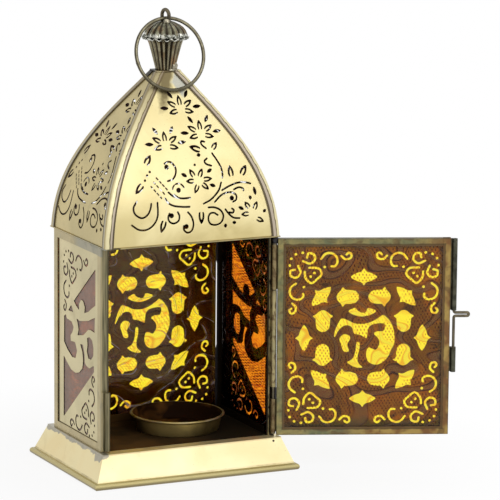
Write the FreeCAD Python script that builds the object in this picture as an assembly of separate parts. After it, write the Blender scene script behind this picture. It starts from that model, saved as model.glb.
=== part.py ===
import FreeCAD, Part
import math
import os
from FreeCAD import Vector as V

# A sheet-brass tea light lantern: a splayed foot, a glazed and pierced body with a hinged
# front door, a curved hip roof, a fluted finial and a loose carrying ring.
# Millimetres, +Z up, origin on the standing surface under the middle of the foot.
# The door is on -Y and is drawn swung open, with its slide bolt raised.

# Body
bodyWidth = 98.0
bodyDepth = 62.0
bodyHeight = 105.5
postLeg = 4.4
frameSheet = 0.6
railHeight = 3.9
panelSheet = 0.5
wallGlass = 2.4
frontTuck = 2.4
rearGap = 0.9
rearTuck = 3.2
rearSlit = 1.3
slitPane = 1.4
glassEndGap = 0.1

# Foot: how far its deck runs past the body, and its splay past the deck
deckSideLip = 1.2
deckPorch = 6.2
footSplay = 7.3
footHeight = 16.5
beadDiameter = 3.5
beadFlat = 0.25
slopeInset = 0.45
deckSheet = 0.7
footSheet = 0.7

# Eave frame under the roof
eaveSheet = 0.6
eaveMargin = 0.1

# Roof
roofSideInset = 0.8
roofPorch = 4.8
roofRise = 83.4
bellyRise = 22.0
bellyInset = 3.6
shoulderRise = 37.5
shoulderInset = 9.6
browRise = 57.5
browInset = 21.7
crownWidth = 12.6
roofSheet = 0.5
hipSheet = 0.5
hipWidth = 4.0
hipSeat = 0.02
crownSheet = 0.7
crownMargin = 0.3
roofOverrun = 2.0
roofStations = 14
roofSamples = 60

# Finial
fluteCount = 18
fluteDepth = 0.5
cupFootRadius = 5.1
cupNeckRadius = 9.2
cupRimRadius = 12.4
cupNeckRise = 15.1
cupRimRise = 1.0
cupRimHeight = 0.7
cupWall = 0.7
capFootRadius = 11.6
capShoulderRadius = 10.4
capShoulderRise = 3.4
capMidRadius = 7.6
capMidRise = 6.2
capTopRadius = 2.4
capRise = 8.5

# Hanging loop and carrying ring
loopWire = 1.9
loopRadius = 3.0
loopHeight = 6.4
loopTurn = 12.0
ringWire = 1.9
ringRadius = 18.7
ringLean = 18.0
ringSeat = 0.15

# Dish for the tea light
dishRadius = 24.8
dishFootRadius = 21.6
dishHeight = 9.0
dishSheet = 0.6
dishLip = 1.2
dishX = 8.3
dishY = 1.5

# Door
doorGap = 0.25
doorSheet = 0.5
doorGlass = 1.9
stileWidth = 4.2
doorBottomGap = 0.5
doorTopGap = 1.2
doorHingeGap = 1.6
boltInset = 3.15
doorSwing = 158.2

# Hinge: a long rolled knuckle on the right front post, one of the door's below it and one above
# it, and the pin through them
leafSheet = 0.4
leafDoorGap = 0.3
knuckleDiameter = 2.7
pinDiameter = 1.5
pinClearance = 0.07
pinHeadDiameter = 2.4
pinHead = 0.9
hingeInset = 1.55
lowerKnuckleFoot = 2.0
lowerKnuckleLength = 17.5
postKnuckleFoot = 26.0
postKnuckleLength = 51.0
knuckleGap = 0.4
upperKnuckleLength = 23.4

# Slide bolt in rolled tubes
boltDiameter = 1.5
boltClearance = 0.07
tubeDiameter = 2.7
tubeStileGap = 2.1
keeperFoot = 0.6
keeperLength = 30.6
lowerTubeFoot = 33.5
lowerTubeLength = 13.2
upperTubeFoot = 66.1
upperTubeLength = 37.8
boltFoot = 34.0
boltReach = 8.5
boltBend = 1.0
boltPitch = 1.8
boltUpperLeg = 22.0
boltSeat = 0.2

# Pierced ornament
starRingX = 30.7
starRingZ = 32.2
starDiagonal = 22.0
starLong = 14.2
starShort = 10.0
tulipReach = 5.5
tulipNearX = 8.3
tulipNearZ = 21.7
tulipFarX = 21.0
tulipFarZ = 9.0
wallFigureHeight = 51.5
sideFigureShift = 2.0
slotWidth = 1.15
roofSlotWidth = 0.85
scrollMirror = 6.5
sideScrollX = 17.2
sideScrollZ = 0.7
sideTurnX = -1.7
sideTurnZ = -3.0
sideFigureRise = 0.9
petalWidth = 2.4
broadPetalWidth = 3.0
leafWidth = 1.75
tongueShare = 0.42
hatchWidth = 0.62
cutReach = 2.0
roofPatternShift = 4.0
roofCutMargin = 1.5

deckWidth = bodyWidth + 2 * deckSideLip
deckDepth = bodyDepth + 2 * deckPorch
footWidth = deckWidth + 2 * footSplay
footDepth = deckDepth + 2 * footSplay
roofWidth = bodyWidth - 2 * roofSideInset
roofDepth = bodyDepth + 2 * roofPorch
halfWidth = bodyWidth / 2
halfDepth = bodyDepth / 2
bodyTop = footHeight + bodyHeight
roofFoot = bodyTop + eaveSheet
roofTop = roofFoot + roofRise
crownTop = roofTop + crownSheet
depthRatio = roofDepth / roofWidth
diagonal = math.degrees(math.atan2(roofDepth, roofWidth))
glassFace = frameSheet + panelSheet
glassBack = glassFace + wallGlass
channelDepth = glassBack + frameSheet
hingeX = halfWidth - hingeInset
hingeY = -(halfDepth + leafSheet + knuckleDiameter / 2)
doorInner = -(halfDepth + doorGap)
doorThickness = 2 * doorSheet + panelSheet + doorGlass
doorOuter = doorInner - doorThickness
doorFoot = footHeight + doorBottomGap
doorTop = bodyTop - doorTopGap
doorRight = hingeX - doorHingeGap
boltX = -(halfWidth - boltInset)
doorLeft = boltX + tubeStileGap
wallFigureZ = footHeight + wallFigureHeight
turnRight = 90
turnBack = 180
turnLeft = -90


# Shapes used more than once
def box(x0, x1, y0, y1, z0, z1):
    return Part.makeBox(x1 - x0, y1 - y0, z1 - z0, V(x0, y0, z0))


def turned(shape, angle, centre=V(0, 0, 0)):
    copy = shape.copy()
    copy.rotate(centre, V(0, 0, 1), angle)
    return copy


def joined(shapes):
    whole = shapes[0].fuse(shapes[1:])
    return whole.removeSplitter()


def pipe(edges, radius):
    # A round wire along a path that starts straight along Z.
    path = Part.Wire(edges)
    start = path.OrderedVertexes[0].Point
    ring = Part.Wire(Part.Circle(start, V(0, 0, 1), radius).toShape())
    return path.makePipeShell([ring], True, False, 1)


def loft(sections):
    return Part.makeLoft(sections, True, True)


def rectangle(halfX, halfY, z):
    corners = [V(-halfX, -halfY, z), V(halfX, -halfY, z), V(halfX, halfY, z), V(-halfX, halfY, z)]
    return Part.makePolygon(corners + corners[:1])


# Cut-outs are drawn in the XZ plane and pushed through a sheet along Y.
class Stencil:
    # Collects cut-outs drawn around (0, 0). Where the pattern goes is said once, at the end.
    def __init__(self):
        self.wires = []

    def polygon(self, points):
        corners = [V(x, 0, z) for x, z in points]
        self.wires.append(Part.makePolygon(corners + corners[:1]))

    def bent(self, tips, waists):
        # Tips joined by arcs, each through its waist point, or by a line where there is none.
        count = len(tips)
        edges = []
        for i in range(count):
            a = tips[i]
            b = tips[(i + 1) % count]
            w = waists[i]
            if w is None:
                edges.append(Part.makeLine(V(a[0], 0, a[1]), V(b[0], 0, b[1])))
            else:
                edges.append(Part.Arc(V(a[0], 0, a[1]), V(w[0], 0, w[1]), V(b[0], 0, b[1])).toShape())
        self.wires.append(Part.Wire(edges))

    def slot(self, points, width=slotWidth):
        # A slot of one width along a smooth line, with round ends.
        line = Part.BSplineCurve()
        line.interpolate([V(x, 0, z) for x, z in points])
        first = line.FirstParameter
        last = line.LastParameter
        count = 2 * len(points)
        left = []
        right = []
        for i in range(count + 1):
            t = first + (last - first) * i / count
            along = line.tangent(t)[0]
            out = V(-along.z, 0, along.x) * (width / 2)
            left.append(line.value(t) + out)
            right.append(line.value(t) - out)
        sides = []
        for run in (left, right[::-1]):
            side = Part.BSplineCurve()
            side.interpolate(run)
            sides.append(side.toShape())
        startTip = line.value(first) - line.tangent(first)[0] * (width / 2)
        endTip = line.value(last) + line.tangent(last)[0] * (width / 2)
        endCap = Part.Arc(left[-1], endTip, right[-1]).toShape()
        startCap = Part.Arc(right[0], startTip, left[0]).toShape()
        self.wires.append(Part.Wire([sides[0], endCap, sides[1], startCap]))

    def dot(self, x, z, radius):
        self.wires.append(Part.Wire(Part.Circle(V(x, 0, z), V(0, 1, 0), radius).toShape()))

    def petal(self, x, z, length, angle, width=petalWidth):
        # A leaf with a tongue of sheet left in it, which grows from the leaf's foot.
        cos = math.cos(math.radians(angle))
        sin = math.sin(math.radians(angle))

        def at(u, v):
            return x + u * length * cos - v * width * sin, z + u * length * sin + v * width * cos

        tongue = tongueShare / 2
        tips = [at(-0.5, 0.4), at(0.5, 0), at(-0.5, -0.4), at(-0.5, -0.4 * tongueShare), at(0.16, 0)]
        tips.append(at(-0.5, 0.4 * tongueShare))
        sides = [at(0, 0.5), at(0, -0.5), None, at(-0.12, -tongue), at(-0.12, tongue), None]
        self.bent(tips, sides)

    def leaf(self, x, z, length, angle, width=leafWidth):
        # A pointed leaf of two arcs.
        cos = math.cos(math.radians(angle))
        sin = math.sin(math.radians(angle))
        tips = [(x - length / 2 * cos, z - length / 2 * sin), (x + length / 2 * cos, z + length / 2 * sin)]
        sides = [(x + width / 2 * sin, z - width / 2 * cos), (x - width / 2 * sin, z + width / 2 * cos)]
        self.bent(tips, sides)

    def star(self, x, z, angle):
        # A pointed lens along the angle, with a smaller tip on each of its sides.
        cos = math.cos(math.radians(angle))
        sin = math.sin(math.radians(angle))

        def at(u, v):
            long, short = u * starLong / 2, v * starShort / 2
            return x + long * cos - short * sin, z + long * sin + short * cos

        tips = []
        sides = []
        for su, sv in ((1, 1), (-1, 1), (-1, -1), (1, -1)):
            lens = [at(su, 0), at(0.65 * su, 0.34 * sv), at(0.25 * su, 0.53 * sv)]
            small = [at(0.1 * su, 0.72 * sv), at(0, sv)]
            forwards = su == sv
            tips += [lens[0], lens[2]] if forwards else [small[1], lens[2]]
            sides += [lens[1], small[0]] if forwards else [small[0], lens[1]]
        self.bent(tips, sides)

    def tulip(self, x, z, angle):
        # A bell: a dome on the outer side, two tips beside it and a body with a round end.
        cos = math.cos(math.radians(angle))
        sin = math.sin(math.radians(angle))

        def at(u, v):
            return x + tulipReach * (u * cos - v * sin), z + tulipReach * (u * sin + v * cos)

        tips = [at(0.75, -0.55), at(0.75, 0.55), at(0.5, 1.02), at(0.22, 0.68), at(-0.73, 0.58)]
        tips += [at(-0.73, -0.58), at(0.22, -0.68), at(0.5, -1.02)]
        sides = [at(1.05, 0), at(0.59, 0.76), at(0.32, 0.8), at(-0.25, 0.67), at(-1.08, 0)]
        sides += [at(-0.25, -0.67), at(0.32, -0.8), at(0.59, -0.76)]
        self.bent(tips, sides)

    def tools(self, x, z, y0, y1, mirrored=False, fits=None):
        # Solids that cut the pattern, centred on (x, z), out of whatever lies between y0 and y1.
        found = []
        for wire in self.wires:
            shape = wire.copy()
            if mirrored:
                shape = shape.mirror(V(0, 0, 0), V(1, 0, 0))
            shape.translate(V(x, y0, z))
            if fits and not fits(shape.BoundBox):
                continue
            found.append(Part.Face(shape).extrude(V(0, y1 - y0, 0)))
        return found


def cornerScrolls(art, place):
    # The scrolls of a sheet's upper left corner: a heart on the corner's diagonal, and beside it
    # hooks and dots that are repeated in the mirror of that diagonal. Place puts them on the sheet.
    def flip(x, z):
        return place(scrollMirror - z, scrollMirror - x)

    heart = [(-30.7, 35.0), (-30.2, 31.7), (-27.3, 29.0), (-24.2, 31.2), (-21.9, 33.7), (-23.2, 36.5)]
    art.slot([place(x, z) for x, z in heart + [(-26.1, 37.1), (-28.4, 37.1)]])
    art.dot(*place(-27.6, 32.5), 0.75)
    art.dot(*place(-25.7, 34.3), 0.75)
    scroll = [(-22.3, 41.7), (-20.2, 44.2), (-17.3, 44.8), (-14.6, 43.2), (-13.8, 40.2), (-15, 38)]
    curl = [(-11.8, 43.4), (-9.8, 41.6), (-7.2, 42.1), (-6.6, 44), (-8, 45), (-9.2, 44)]
    hook = [(-29.6, 42.4), (-28.9, 44.6), (-26.2, 44.2), (-25.5, 41.4), (-28, 39.3), (-31.6, 40.6)]
    for put in (place, flip):
        for line in (scroll + [(-16.9, 37.9)], curl, hook):
            art.slot([put(x, z) for x, z in line])
        for x, z in ((-31.8, 45), (-35.4, 44.2), (-20.4, 37.5)):
            art.dot(*put(x, z), 0.75)


def doorPattern():
    # Sixteen petals in a ring around a flowing figure, as seen from inside the lantern.
    art = Stencil()
    for s in (-1, 1):
        art.star(0, s * starRingZ, 0)
        art.star(s * starRingX, 0, 90)
        for t in (-1, 1):
            art.star(s * starDiagonal, t * starDiagonal, -45 * s * t)
            art.tulip(s * tulipNearX, t * tulipNearZ, 90 - 90 * s)
            art.tulip(s * tulipFarX, t * tulipFarZ, 90 * t)
            cornerScrolls(art, lambda x, z: (-s * x, t * z))
    crescent = [(-7.9, 14.2), (-4.4, 16), (-3.4, 14.8), (-0.9, 13.4), (1.4, 13.8), (2.3, 15.8)]
    art.polygon(crescent + [(6.6, 14.3), (3.9, 12.3), (-0.7, 11.3), (-5.3, 12.3)])
    wingTop = [(-15.1, 0), (-14.6, 4.2), (-12.8, 8.3), (-11.1, 10.4), (-7.8, 9.3), (-4.4, 7.7), (0.6, 7.5)]
    bowRight = [(5.6, 9.2), (10.2, 12), (14.3, 8.3), (16, 3.3), (16.3, -2.5), (13.6, -9), (9.8, -13.3)]
    hook = [(6.4, -14.3), (3.1, -12.9), (1.8, -10), (1.8, -7.1), (3.1, -5), (6.4, -6.3), (8.3, -3.4)]
    bowIn = [(7.3, 0.4), (5.4, 2.3), (7.3, 3.5), (10.6, 3.8), (11, 7.5), (5.6, 7.3), (3.1, 5.8), (2.3, 3.3)]
    wingIn = [(1.8, -0.2), (-1.9, 1.7), (-4.4, 2.1), (-6.1, 5.8), (-8.6, 6.7), (-11.1, 5.8), (-13.2, 3.3)]
    art.polygon(wingTop + bowRight + hook + bowIn + wingIn)
    bean = [(-10.3, 1.9), (-7.3, 1.3), (-6.8, -0.8), (-8.2, -3.3), (-7.3, -6.7), (-9.5, -7.5)]
    art.polygon(bean + [(-11.5, -3.3)])
    anchor = [(-3.4, -2.1), (-1.9, -2.5), (-1.8, -5.8), (-2.8, -10), (-2.3, -13.3), (-0.1, -15.8)]
    art.polygon(anchor + [(-4.4, -15.4), (-8.2, -12.9), (-5.3, -10.8), (-4, -7.5)])
    return art


def sidePattern():
    # Large windows under and over a flowing figure, as seen from outside the lantern.
    art = Stencil()
    notch = [(6.1, 15.6), (6.8, 18.7), (4.6, 21.6), (1.8, 21.8), (-0.7, 19.1), (-0.7, 15.9)]
    gable = [(20.7, 41.2), (20.7, 22.3), (15.7, 19.8), (11.4, 17.3)]
    art.polygon(gable + notch + [(-3.6, 16.9), (-7.9, 19.4)])
    art.polygon([(-15.4, 13), (-11.1, 16.6), (-8.6, 13.4)])
    waveTop = [(-4.3, 10.9), (0, 10.4), (4.3, 11.1), (11.4, 12.6), (20, 15.9), (19.6, 8), (15, 8.4)]
    waveLow = [(11.4, 8), (8.6, 6.2), (5, 3.9), (-1.4, 2.6), (-2.9, 2.3), (-1.4, 5.5), (-2.9, 9.1)]
    art.polygon(waveTop + waveLow)
    threeTop = [(-20.7, 9.1), (-18.4, 10.4), (-17.1, 8.4), (-10.7, 8), (-8, 5.5), (-9.6, 2.6), (-12.1, 0.5)]
    threeLow = [(-11.8, -2.4), (-6.1, -2), (-3.4, -5.9), (-5.4, -10.2), (-10, -10.6), (-16.4, -7.7)]
    art.polygon(threeTop + threeLow + [(-20.9, -4.5)])
    sill = [(-21.4, -12), (-17.1, -14.5), (-11.4, -17.4), (-5.7, -18.1), (-0.7, -16.9), (3.6, -13.8)]
    tail = [(4.6, -9.5), (3.6, -5.2), (0.7, -1.6), (4.3, -1.3), (6.4, -5.9), (6.8, -9.9), (8.6, -11.3)]
    art.polygon(sill + tail + [(12.9, -12), (18.6, -9.5), (18.9, -12.7), (-21.4, -44.5)])
    bean = [(10, 3.4), (12.9, 4.4), (16.4, 3.4), (18.2, -0.2), (17.9, -4.5), (15, -7), (11.4, -7)]
    art.polygon(bean + [(9.6, -3.8), (10.4, -0.2)])
    cornerScrolls(art, lambda x, z: (x + sideScrollX, z - sideScrollZ))
    cornerScrolls(art, lambda x, z: (sideTurnX - x - sideScrollX, sideTurnZ - z + sideScrollZ))
    return art


def roofSprays(art):
    # Sprays of petals: solid ones outside, and inside them ones with a tongue.
    for x, z in ((2, 66.2), (10.4, 53.9), (-10.2, 49.6)):
        art.petal(x, z + 3.8, 4.7, 90)
        for s in (-1, 1):
            art.leaf(x + 9 * s, z + 0.2, 4.9, 90 - 86 * s)
            art.leaf(x + 4.5 * s, z + 6.4, 4.3, 90 - 35 * s)
            art.petal(x + 4.8 * s, z + 2.2, 4.9, 90 - 60 * s)
            art.petal(x + 4.6 * s, z - 1.9, 4.9, 90 - 102 * s)
    solid = [(-2.6, 34, 3.8, 150), (11.7, 35.3, 3.6, 28), (12.6, 28, 3.6, -20), (27.5, 15.6, 3.6, 150)]
    solid += [(35.8, 23.8, 4.8, 102), (33, 20.6, 2.4, 110), (18.3, 7.3, 2.4, 88), (23.3, 8.6, 2.4, -15)]
    for x, z, length, angle in solid + [(7, 43.2, 2.4, 5), (40.6, 13.4, 2.2, 45)]:
        art.leaf(x, z, length, angle)
    tongued = [(1.7, 34.9, 4.4, 120), (6.8, 34.7, 4.6, 62), (0.2, 30.8, 4.6, 178), (10.4, 31.3, 4.8, 3)]
    tongued += [(3.3, 26.6, 4.6, 242), (8.7, 27.6, 4.6, 318), (29.4, 12.4, 4.4, 182), (30.8, 17.1, 4.2, 125)]
    tongued += [(35.8, 16.6, 4.4, 66), (38.2, 8.8, 4.4, -28), (16.8, 47.3, 4.4, 45)]
    for x, z, length, angle in tongued:
        art.petal(x, z, length, angle)
    broad = [(5.3, 46.6, 6.2, 160), (23.4, 34.6, 5.6, 95), (31, 34.6, 5.6, 56), (-21.2, 42.6, 5.6, 52)]
    for x, z, length, angle in broad + [(-28.4, 28.5, 6, 225), (-16.7, 9, 6.4, 250), (5, 12, 6.4, 268)]:
        art.petal(x, z, length, angle, broadPetalWidth)


def roofPattern():
    # Sprays, stems and curls, in the panel's elevation, heights above the roof's foot.
    art = Stencil()
    roofSprays(art)
    stems = [[(14.6, 43.6), (16.4, 40.6), (18.2, 37), (18.8, 33.4), (18.4, 31.4)]]
    stems.append([(17.5, 29.1), (15.6, 25.2), (11.2, 21.2), (6.7, 19.2)])
    stems.append([(17.6, 25.3), (21.6, 27), (26, 28.3), (30, 28.5), (33.8, 27.6)])
    stems.append([(-12.3, 26.1), (-9.8, 24), (-5.4, 22.7), (-0.5, 22.6)])
    stems.append([(-14.4, 23.2), (-12.8, 20.8), (-9.8, 19.2), (-5, 18.4), (-1.2, 18.2)])
    curls = [[(11.4, 49.4), (9.9, 49.7), (9.3, 48.7), (10.2, 47.4), (11.7, 46.2)]]
    curls.append([(11.3, 41.3), (9.7, 40.1), (10.5, 38.6), (13.2, 37.6)])
    comma = [(-12.6, 40.2), (-10.3, 41), (-8.2, 40), (-6.8, 37.4), (-7.4, 34.4), (-9.3, 32.3)]
    curls.append(comma + [(-12, 31.6)])
    curls.append([(24.2, 25.2), (27, 26.1), (29.3, 25.4), (29.6, 24.4)])
    curls.append([(13, 19.7), (16.5, 22.6), (20, 23.9), (23, 23.8), (25.2, 22.3), (25, 20), (23.2, 19.1)])
    bowl = [(-30.2, 22.6), (-32.2, 19.7), (-31.5, 16.4), (-28, 14.3), (-24.8, 15.6), (-23, 18.4)]
    curls.append(bowl + [(-22.3, 21.1)])
    curls.append([(-33.7, 11.1), (-30, 8.6), (-26, 8.2), (-22, 10.2), (-19.3, 14.4), (-18.8, 21.4)])
    cup = [(-12.6, 15.6), (-13.5, 13.4), (-12.6, 11.3), (-10.3, 10.4), (-7.8, 11.6), (-7.2, 14)]
    curls.append(cup + [(-8, 16)])
    curls.append([(-2.4, 15.6), (-0.4, 13), (0.4, 9.4), (-0.6, 6.2), (-3, 5.2), (-5, 6.8), (-5, 8.8)])
    outer = [(9.2, 17.2), (12.5, 17), (15.8, 15.4), (17.3, 12.4), (16, 9.3), (13, 8.1), (10, 8.8)]
    curls.append(outer + [(8.8, 11.4), (9.8, 13.9), (12, 14.3), (14.2, 13)])
    curls.append([(18.6, 15.6), (20.6, 13), (23, 11.1), (26.4, 10.6)])
    for line in stems + curls:
        art.slot(line, roofSlotWidth)
    for x, z in ((-24.5, 32.7), (-23, 35), (-21.3, 36.7), (4, 38.6)):
        art.dot(x, z, 0.6)
    for x, z in ((-11.7, 38.4), (-11.5, 14.4), (-3.6, 8.4), (22.6, 21), (-6.6, 26.8)):
        art.dot(x, z, 1.1)
    for start in (20, 75, 130, 215):
        ring = []
        for step in range(3):
            turn = math.radians(start + 19 * step)
            ring.append((-6.6 + 3.3 * math.cos(turn), 26.8 + 3.3 * math.sin(turn)))
        art.slot(ring, roofSlotWidth)
    for row in range(3):
        for column in range(4):
            x = -21.6 + 1.75 * row + 1.5 * column
            z = 29.6 + 2 * row - 1.75 * column
            art.slot([(x, z), (x + 0.8, z - 1)], hatchWidth)
    return art


# Walls are drawn as a front wall: x to the right from outside, y inwards.
def channel(x0, x1, y, z0, z1, webAtFoot):
    # A folded channel: an outer leg, an inner leg and a web between them.
    web = (z0, z0 + frameSheet) if webAtFoot else (z1 - frameSheet, z1)
    outer = box(x0, x1, y, y + frameSheet, z0, z1)
    inner = box(x0, x1, y + glassBack, y + channelDepth, z0, z1)
    return joined([outer, inner, box(x0, x1, y, y + channelDepth, web[0], web[1])])


def wallRails(half, y):
    end = half - postLeg
    low = channel(-end, end, y, footHeight, footHeight + railHeight, True)
    high = channel(-end, end, y, bodyTop - railHeight, bodyTop, False)
    return low, high


def wallPane(x0, x1, y, thickness, trim=0.0):
    z0 = footHeight + frameSheet + trim
    z1 = bodyTop - frameSheet - trim
    return box(x0, x1, y, y + thickness, z0, z1)


def pierced(sheet, tools):
    return sheet.cut(tools).removeSplitter()


# Each roof panel is drawn as a front panel.
def roofCurve(scale, offset):
    # The roof's curved line, moved outwards along its normal, and run on past both ends.
    # The scale comes last, so that neighbouring sheets meet exactly on the planes of the hips.
    foot = roofWidth / 2
    line = [(foot, 0), (foot - bellyInset, bellyRise), (foot - shoulderInset, shoulderRise)]
    line += [(foot - browInset, browRise), (crownWidth / 2, roofRise)]
    for near, far in ((0, 1), (-1, -2)):
        end = line[near]
        back = line[far]
        grow = roofOverrun / math.hypot(end[0] - back[0], end[1] - back[1])
        extra = (end[0] + (end[0] - back[0]) * grow, end[1] + (end[1] - back[1]) * grow)
        line.insert(0 if near == 0 else len(line), extra)
    points = []
    for i, (half, rise) in enumerate(line):
        a = line[max(i - 1, 0)]
        b = line[min(i + 1, len(line) - 1)]
        length = math.hypot(b[0] - a[0], b[1] - a[1])
        out = half + (b[1] - a[1]) / length * offset
        up = rise - (b[0] - a[0]) / length * offset
        points.append(V(0, -out * scale, roofFoot + up))
    curve = Part.BSplineCurve()
    curve.interpolate(points)
    return curve.toShape()


def roofSkin(scale, spread, inner, outer):
    # A curved sheet between two offsets, mitred on the vertical planes of the hips.
    edges = [roofCurve(scale, inner), roofCurve(scale, outer)]
    for end in (0, -1):
        edges.append(Part.makeLine(edges[0].Vertexes[end].Point, edges[1].Vertexes[end].Point))
    band = Part.Face(Part.Wire(Part.__sortEdges__(edges)))
    reach = roofWidth
    band.translate(V(-reach, 0, 0))
    sheet = band.extrude(V(2 * reach, 0, 0))
    corners = [V(0, 0, roofFoot), V(-reach * spread, -reach, roofFoot), V(reach * spread, -reach, roofFoot)]
    wedge = Part.Face(Part.makePolygon(corners + corners[:1])).extrude(V(0, 0, roofRise))
    return sheet.common(wedge)


def roofBody(offset):
    # The whole roof as one solid, out to an offset from the panels' outer side.
    rings = []
    for point in roofCurve(1, offset).discretize(Number=roofStations):
        rings.append(rectangle(-point.y, -point.y * depthRatio, point.z))
    return Part.makeLoft(rings, True, False)


def roofHalf(rise):
    # Half the roof's width at a height above its foot.
    profile = roofCurve(1, 0).discretize(Number=roofSamples)
    for low, high in zip(profile, profile[1:]):
        if low.z - roofFoot <= rise <= high.z - roofFoot:
            share = (rise - low.z + roofFoot) / (high.z - low.z)
            return -low.y + share * (low.y - high.y)
    return 0


def roofPanel(scale, spread, pattern, shift):
    skin = roofSkin(scale, spread, -roofSheet, 0)

    def fits(room):
        # A cut-out has to stay off the mitred sides at its upper end.
        reach = max(abs(room.XMin), abs(room.XMax))
        return reach + roofCutMargin < roofHalf(room.ZMax - roofFoot) * scale * spread

    tools = pattern.tools(shift, roofFoot, -roofWidth, 0, False, fits)
    return pierced(skin, tools)


def hipStrip(shell, angle):
    # The part of a shell over the roof that lies along one hip.
    reach = hipWidth * math.sin(math.radians(diagonal))
    slab = box(0, roofWidth, -reach, reach, roofFoot, roofTop)
    return shell.common(turned(slab, angle)).removeSplitter()


# A ring of flutes for the finial
def fluted(radius, z, depth=fluteDepth):
    corners = []
    for i in range(2 * fluteCount):
        turn = math.pi * i / fluteCount
        reach = radius - (depth if i % 2 else 0)
        corners.append(V(reach * math.cos(turn), reach * math.sin(turn), z))
    return Part.makePolygon(corners + corners[:1])


parts = {}

# Foot: a splayed skirt that ends in a rolled bead, and the deck on its upper rim.
beadRadius = beadDiameter / 2
beadHeight = beadRadius - beadFlat
beadPath = rectangle(footWidth / 2 - beadRadius, footDepth / 2 - beadRadius, beadHeight)
beadStart = beadPath.OrderedVertexes[0].Point
beadRing = Part.Wire(Part.Circle(beadStart, V(1, 0, 0), beadRadius).toShape())
bead = beadPath.makePipeShell([beadRing], True, False, 1)
skirtFoot = beadHeight
skirtTop = footHeight - deckSheet
skirt = []
for shrink in (0, footSheet):
    lowX = footWidth / 2 - slopeInset - beadRadius - shrink
    lowY = footDepth / 2 - slopeInset - beadRadius - shrink
    low = rectangle(lowX + beadRadius / 2, lowY + beadRadius / 2, skirtFoot)
    high = rectangle(deckWidth / 2 - shrink, deckDepth / 2 - shrink, skirtTop)
    skirt.append(loft([low, high]))
hollow = skirt[0].cut(skirt[1])
ground = box(-footWidth, footWidth, -footDepth, footDepth, -beadDiameter, 0)
parts["foot_skirt"] = joined([bead, hollow]).cut(ground)
parts["floor_plate"] = box(-deckWidth / 2, deckWidth / 2, -deckDepth / 2, deckDepth / 2, skirtTop, footHeight)

# Corner posts
for sx, nameX in ((-1, "left"), (1, "right")):
    for sy, nameY in ((-1, "front"), (1, "rear")):
        along = sorted((sx * halfWidth, sx * (halfWidth - postLeg)))
        alongSheet = sorted((sy * halfDepth, sy * (halfDepth - frameSheet)))
        across = sorted((sy * halfDepth, sy * (halfDepth - postLeg)))
        acrossSheet = sorted((sx * halfWidth, sx * (halfWidth - frameSheet)))
        legA = box(along[0], along[1], alongSheet[0], alongSheet[1], footHeight, bodyTop)
        legB = box(acrossSheet[0], acrossSheet[1], across[0], across[1], footHeight, bodyTop)
        parts["post_%s_%s" % (nameY, nameX)] = joined([legA, legB])

# Side walls: the pierced sheet stops short of the rear post, the pane runs on behind it.
windows = sidePattern()
for side, angle, toFront in (("left", turnLeft, 1), ("right", turnRight, -1)):
    face = -halfWidth
    low, high = wallRails(halfDepth, face)
    parts["rail_%s_bottom" % side] = turned(low, angle)
    parts["rail_%s_top" % side] = turned(high, angle)
    front = toFront * (halfDepth - postLeg + frontTuck)
    rear = -toFront * (halfDepth - postLeg - rearGap)
    paneRear = -toFront * (halfDepth - channelDepth - glassEndGap)
    sheet = wallPane(min(front, rear), max(front, rear), face + frameSheet, panelSheet)
    pane = wallPane(min(front, paneRear), max(front, paneRear), face + glassFace, wallGlass)
    centre = toFront * sideFigureShift
    tools = windows.tools(centre, wallFigureZ + sideFigureRise, face - cutReach, face + cutReach)
    parts["panel_%s" % side] = turned(pierced(sheet, tools), angle)
    parts["glass_%s" % side] = turned(pane, angle)

# Back wall: it sits a little to the left, so a slit stays open beside the right rear post,
# and its pane ends before the sheet does.
face = -halfDepth
low, high = wallRails(halfWidth, face)
parts["rail_back_bottom"] = turned(low, turnBack)
parts["rail_back_top"] = turned(high, turnBack)
slitEnd = -(halfWidth - postLeg - rearSlit)
tuckedEnd = halfWidth - postLeg + rearTuck
ring = doorPattern()
sheet = wallPane(slitEnd, tuckedEnd, face + frameSheet, panelSheet)
tools = ring.tools(0, wallFigureZ, face - cutReach, face + cutReach, True)
parts["panel_back"] = turned(pierced(sheet, tools), turnBack)
pane = wallPane(slitEnd + slitPane, tuckedEnd, face + glassFace, wallGlass)
parts["glass_back"] = turned(pane, turnBack)

# Eave frame, with the roof standing on it
eaveHalfX = max(halfWidth, roofWidth / 2 + hipSeat + hipSheet + eaveMargin)
eaveHalfY = roofDepth / 2 + hipSeat + hipSheet + eaveMargin
openX = halfWidth - channelDepth - eaveMargin
openY = halfDepth - channelDepth - eaveMargin
plate = box(-eaveHalfX, eaveHalfX, -eaveHalfY, eaveHalfY, bodyTop, roofFoot)
parts["eave_frame"] = plate.cut(box(-openX, openX, -openY, openY, bodyTop, roofFoot))

# Roof panels, and the folded strips that cover their joints
leaves = roofPattern()
frontPanel = roofPanel(depthRatio, 1 / depthRatio, leaves, 0)
sidePanel = roofPanel(1, depthRatio, leaves, roofPatternShift)
parts["roof_front"] = frontPanel
parts["roof_back"] = turned(frontPanel, turnBack)
parts["roof_left"] = turned(sidePanel, turnLeft)
parts["roof_right"] = turned(sidePanel, turnRight)
hipShell = roofBody(hipSeat + hipSheet).cut(roofBody(hipSeat))
parts["hip_front_left"] = hipStrip(hipShell, 180 + diagonal)
parts["hip_front_right"] = hipStrip(hipShell, -diagonal)
parts["hip_rear_left"] = hipStrip(hipShell, 180 - diagonal)
parts["hip_rear_right"] = hipStrip(hipShell, diagonal)
crownX = crownWidth / 2 + crownMargin
crownY = crownWidth / 2 * depthRatio + crownMargin
parts["roof_crown"] = box(-crownX, crownX, -crownY, crownY, roofTop, crownTop)

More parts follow.
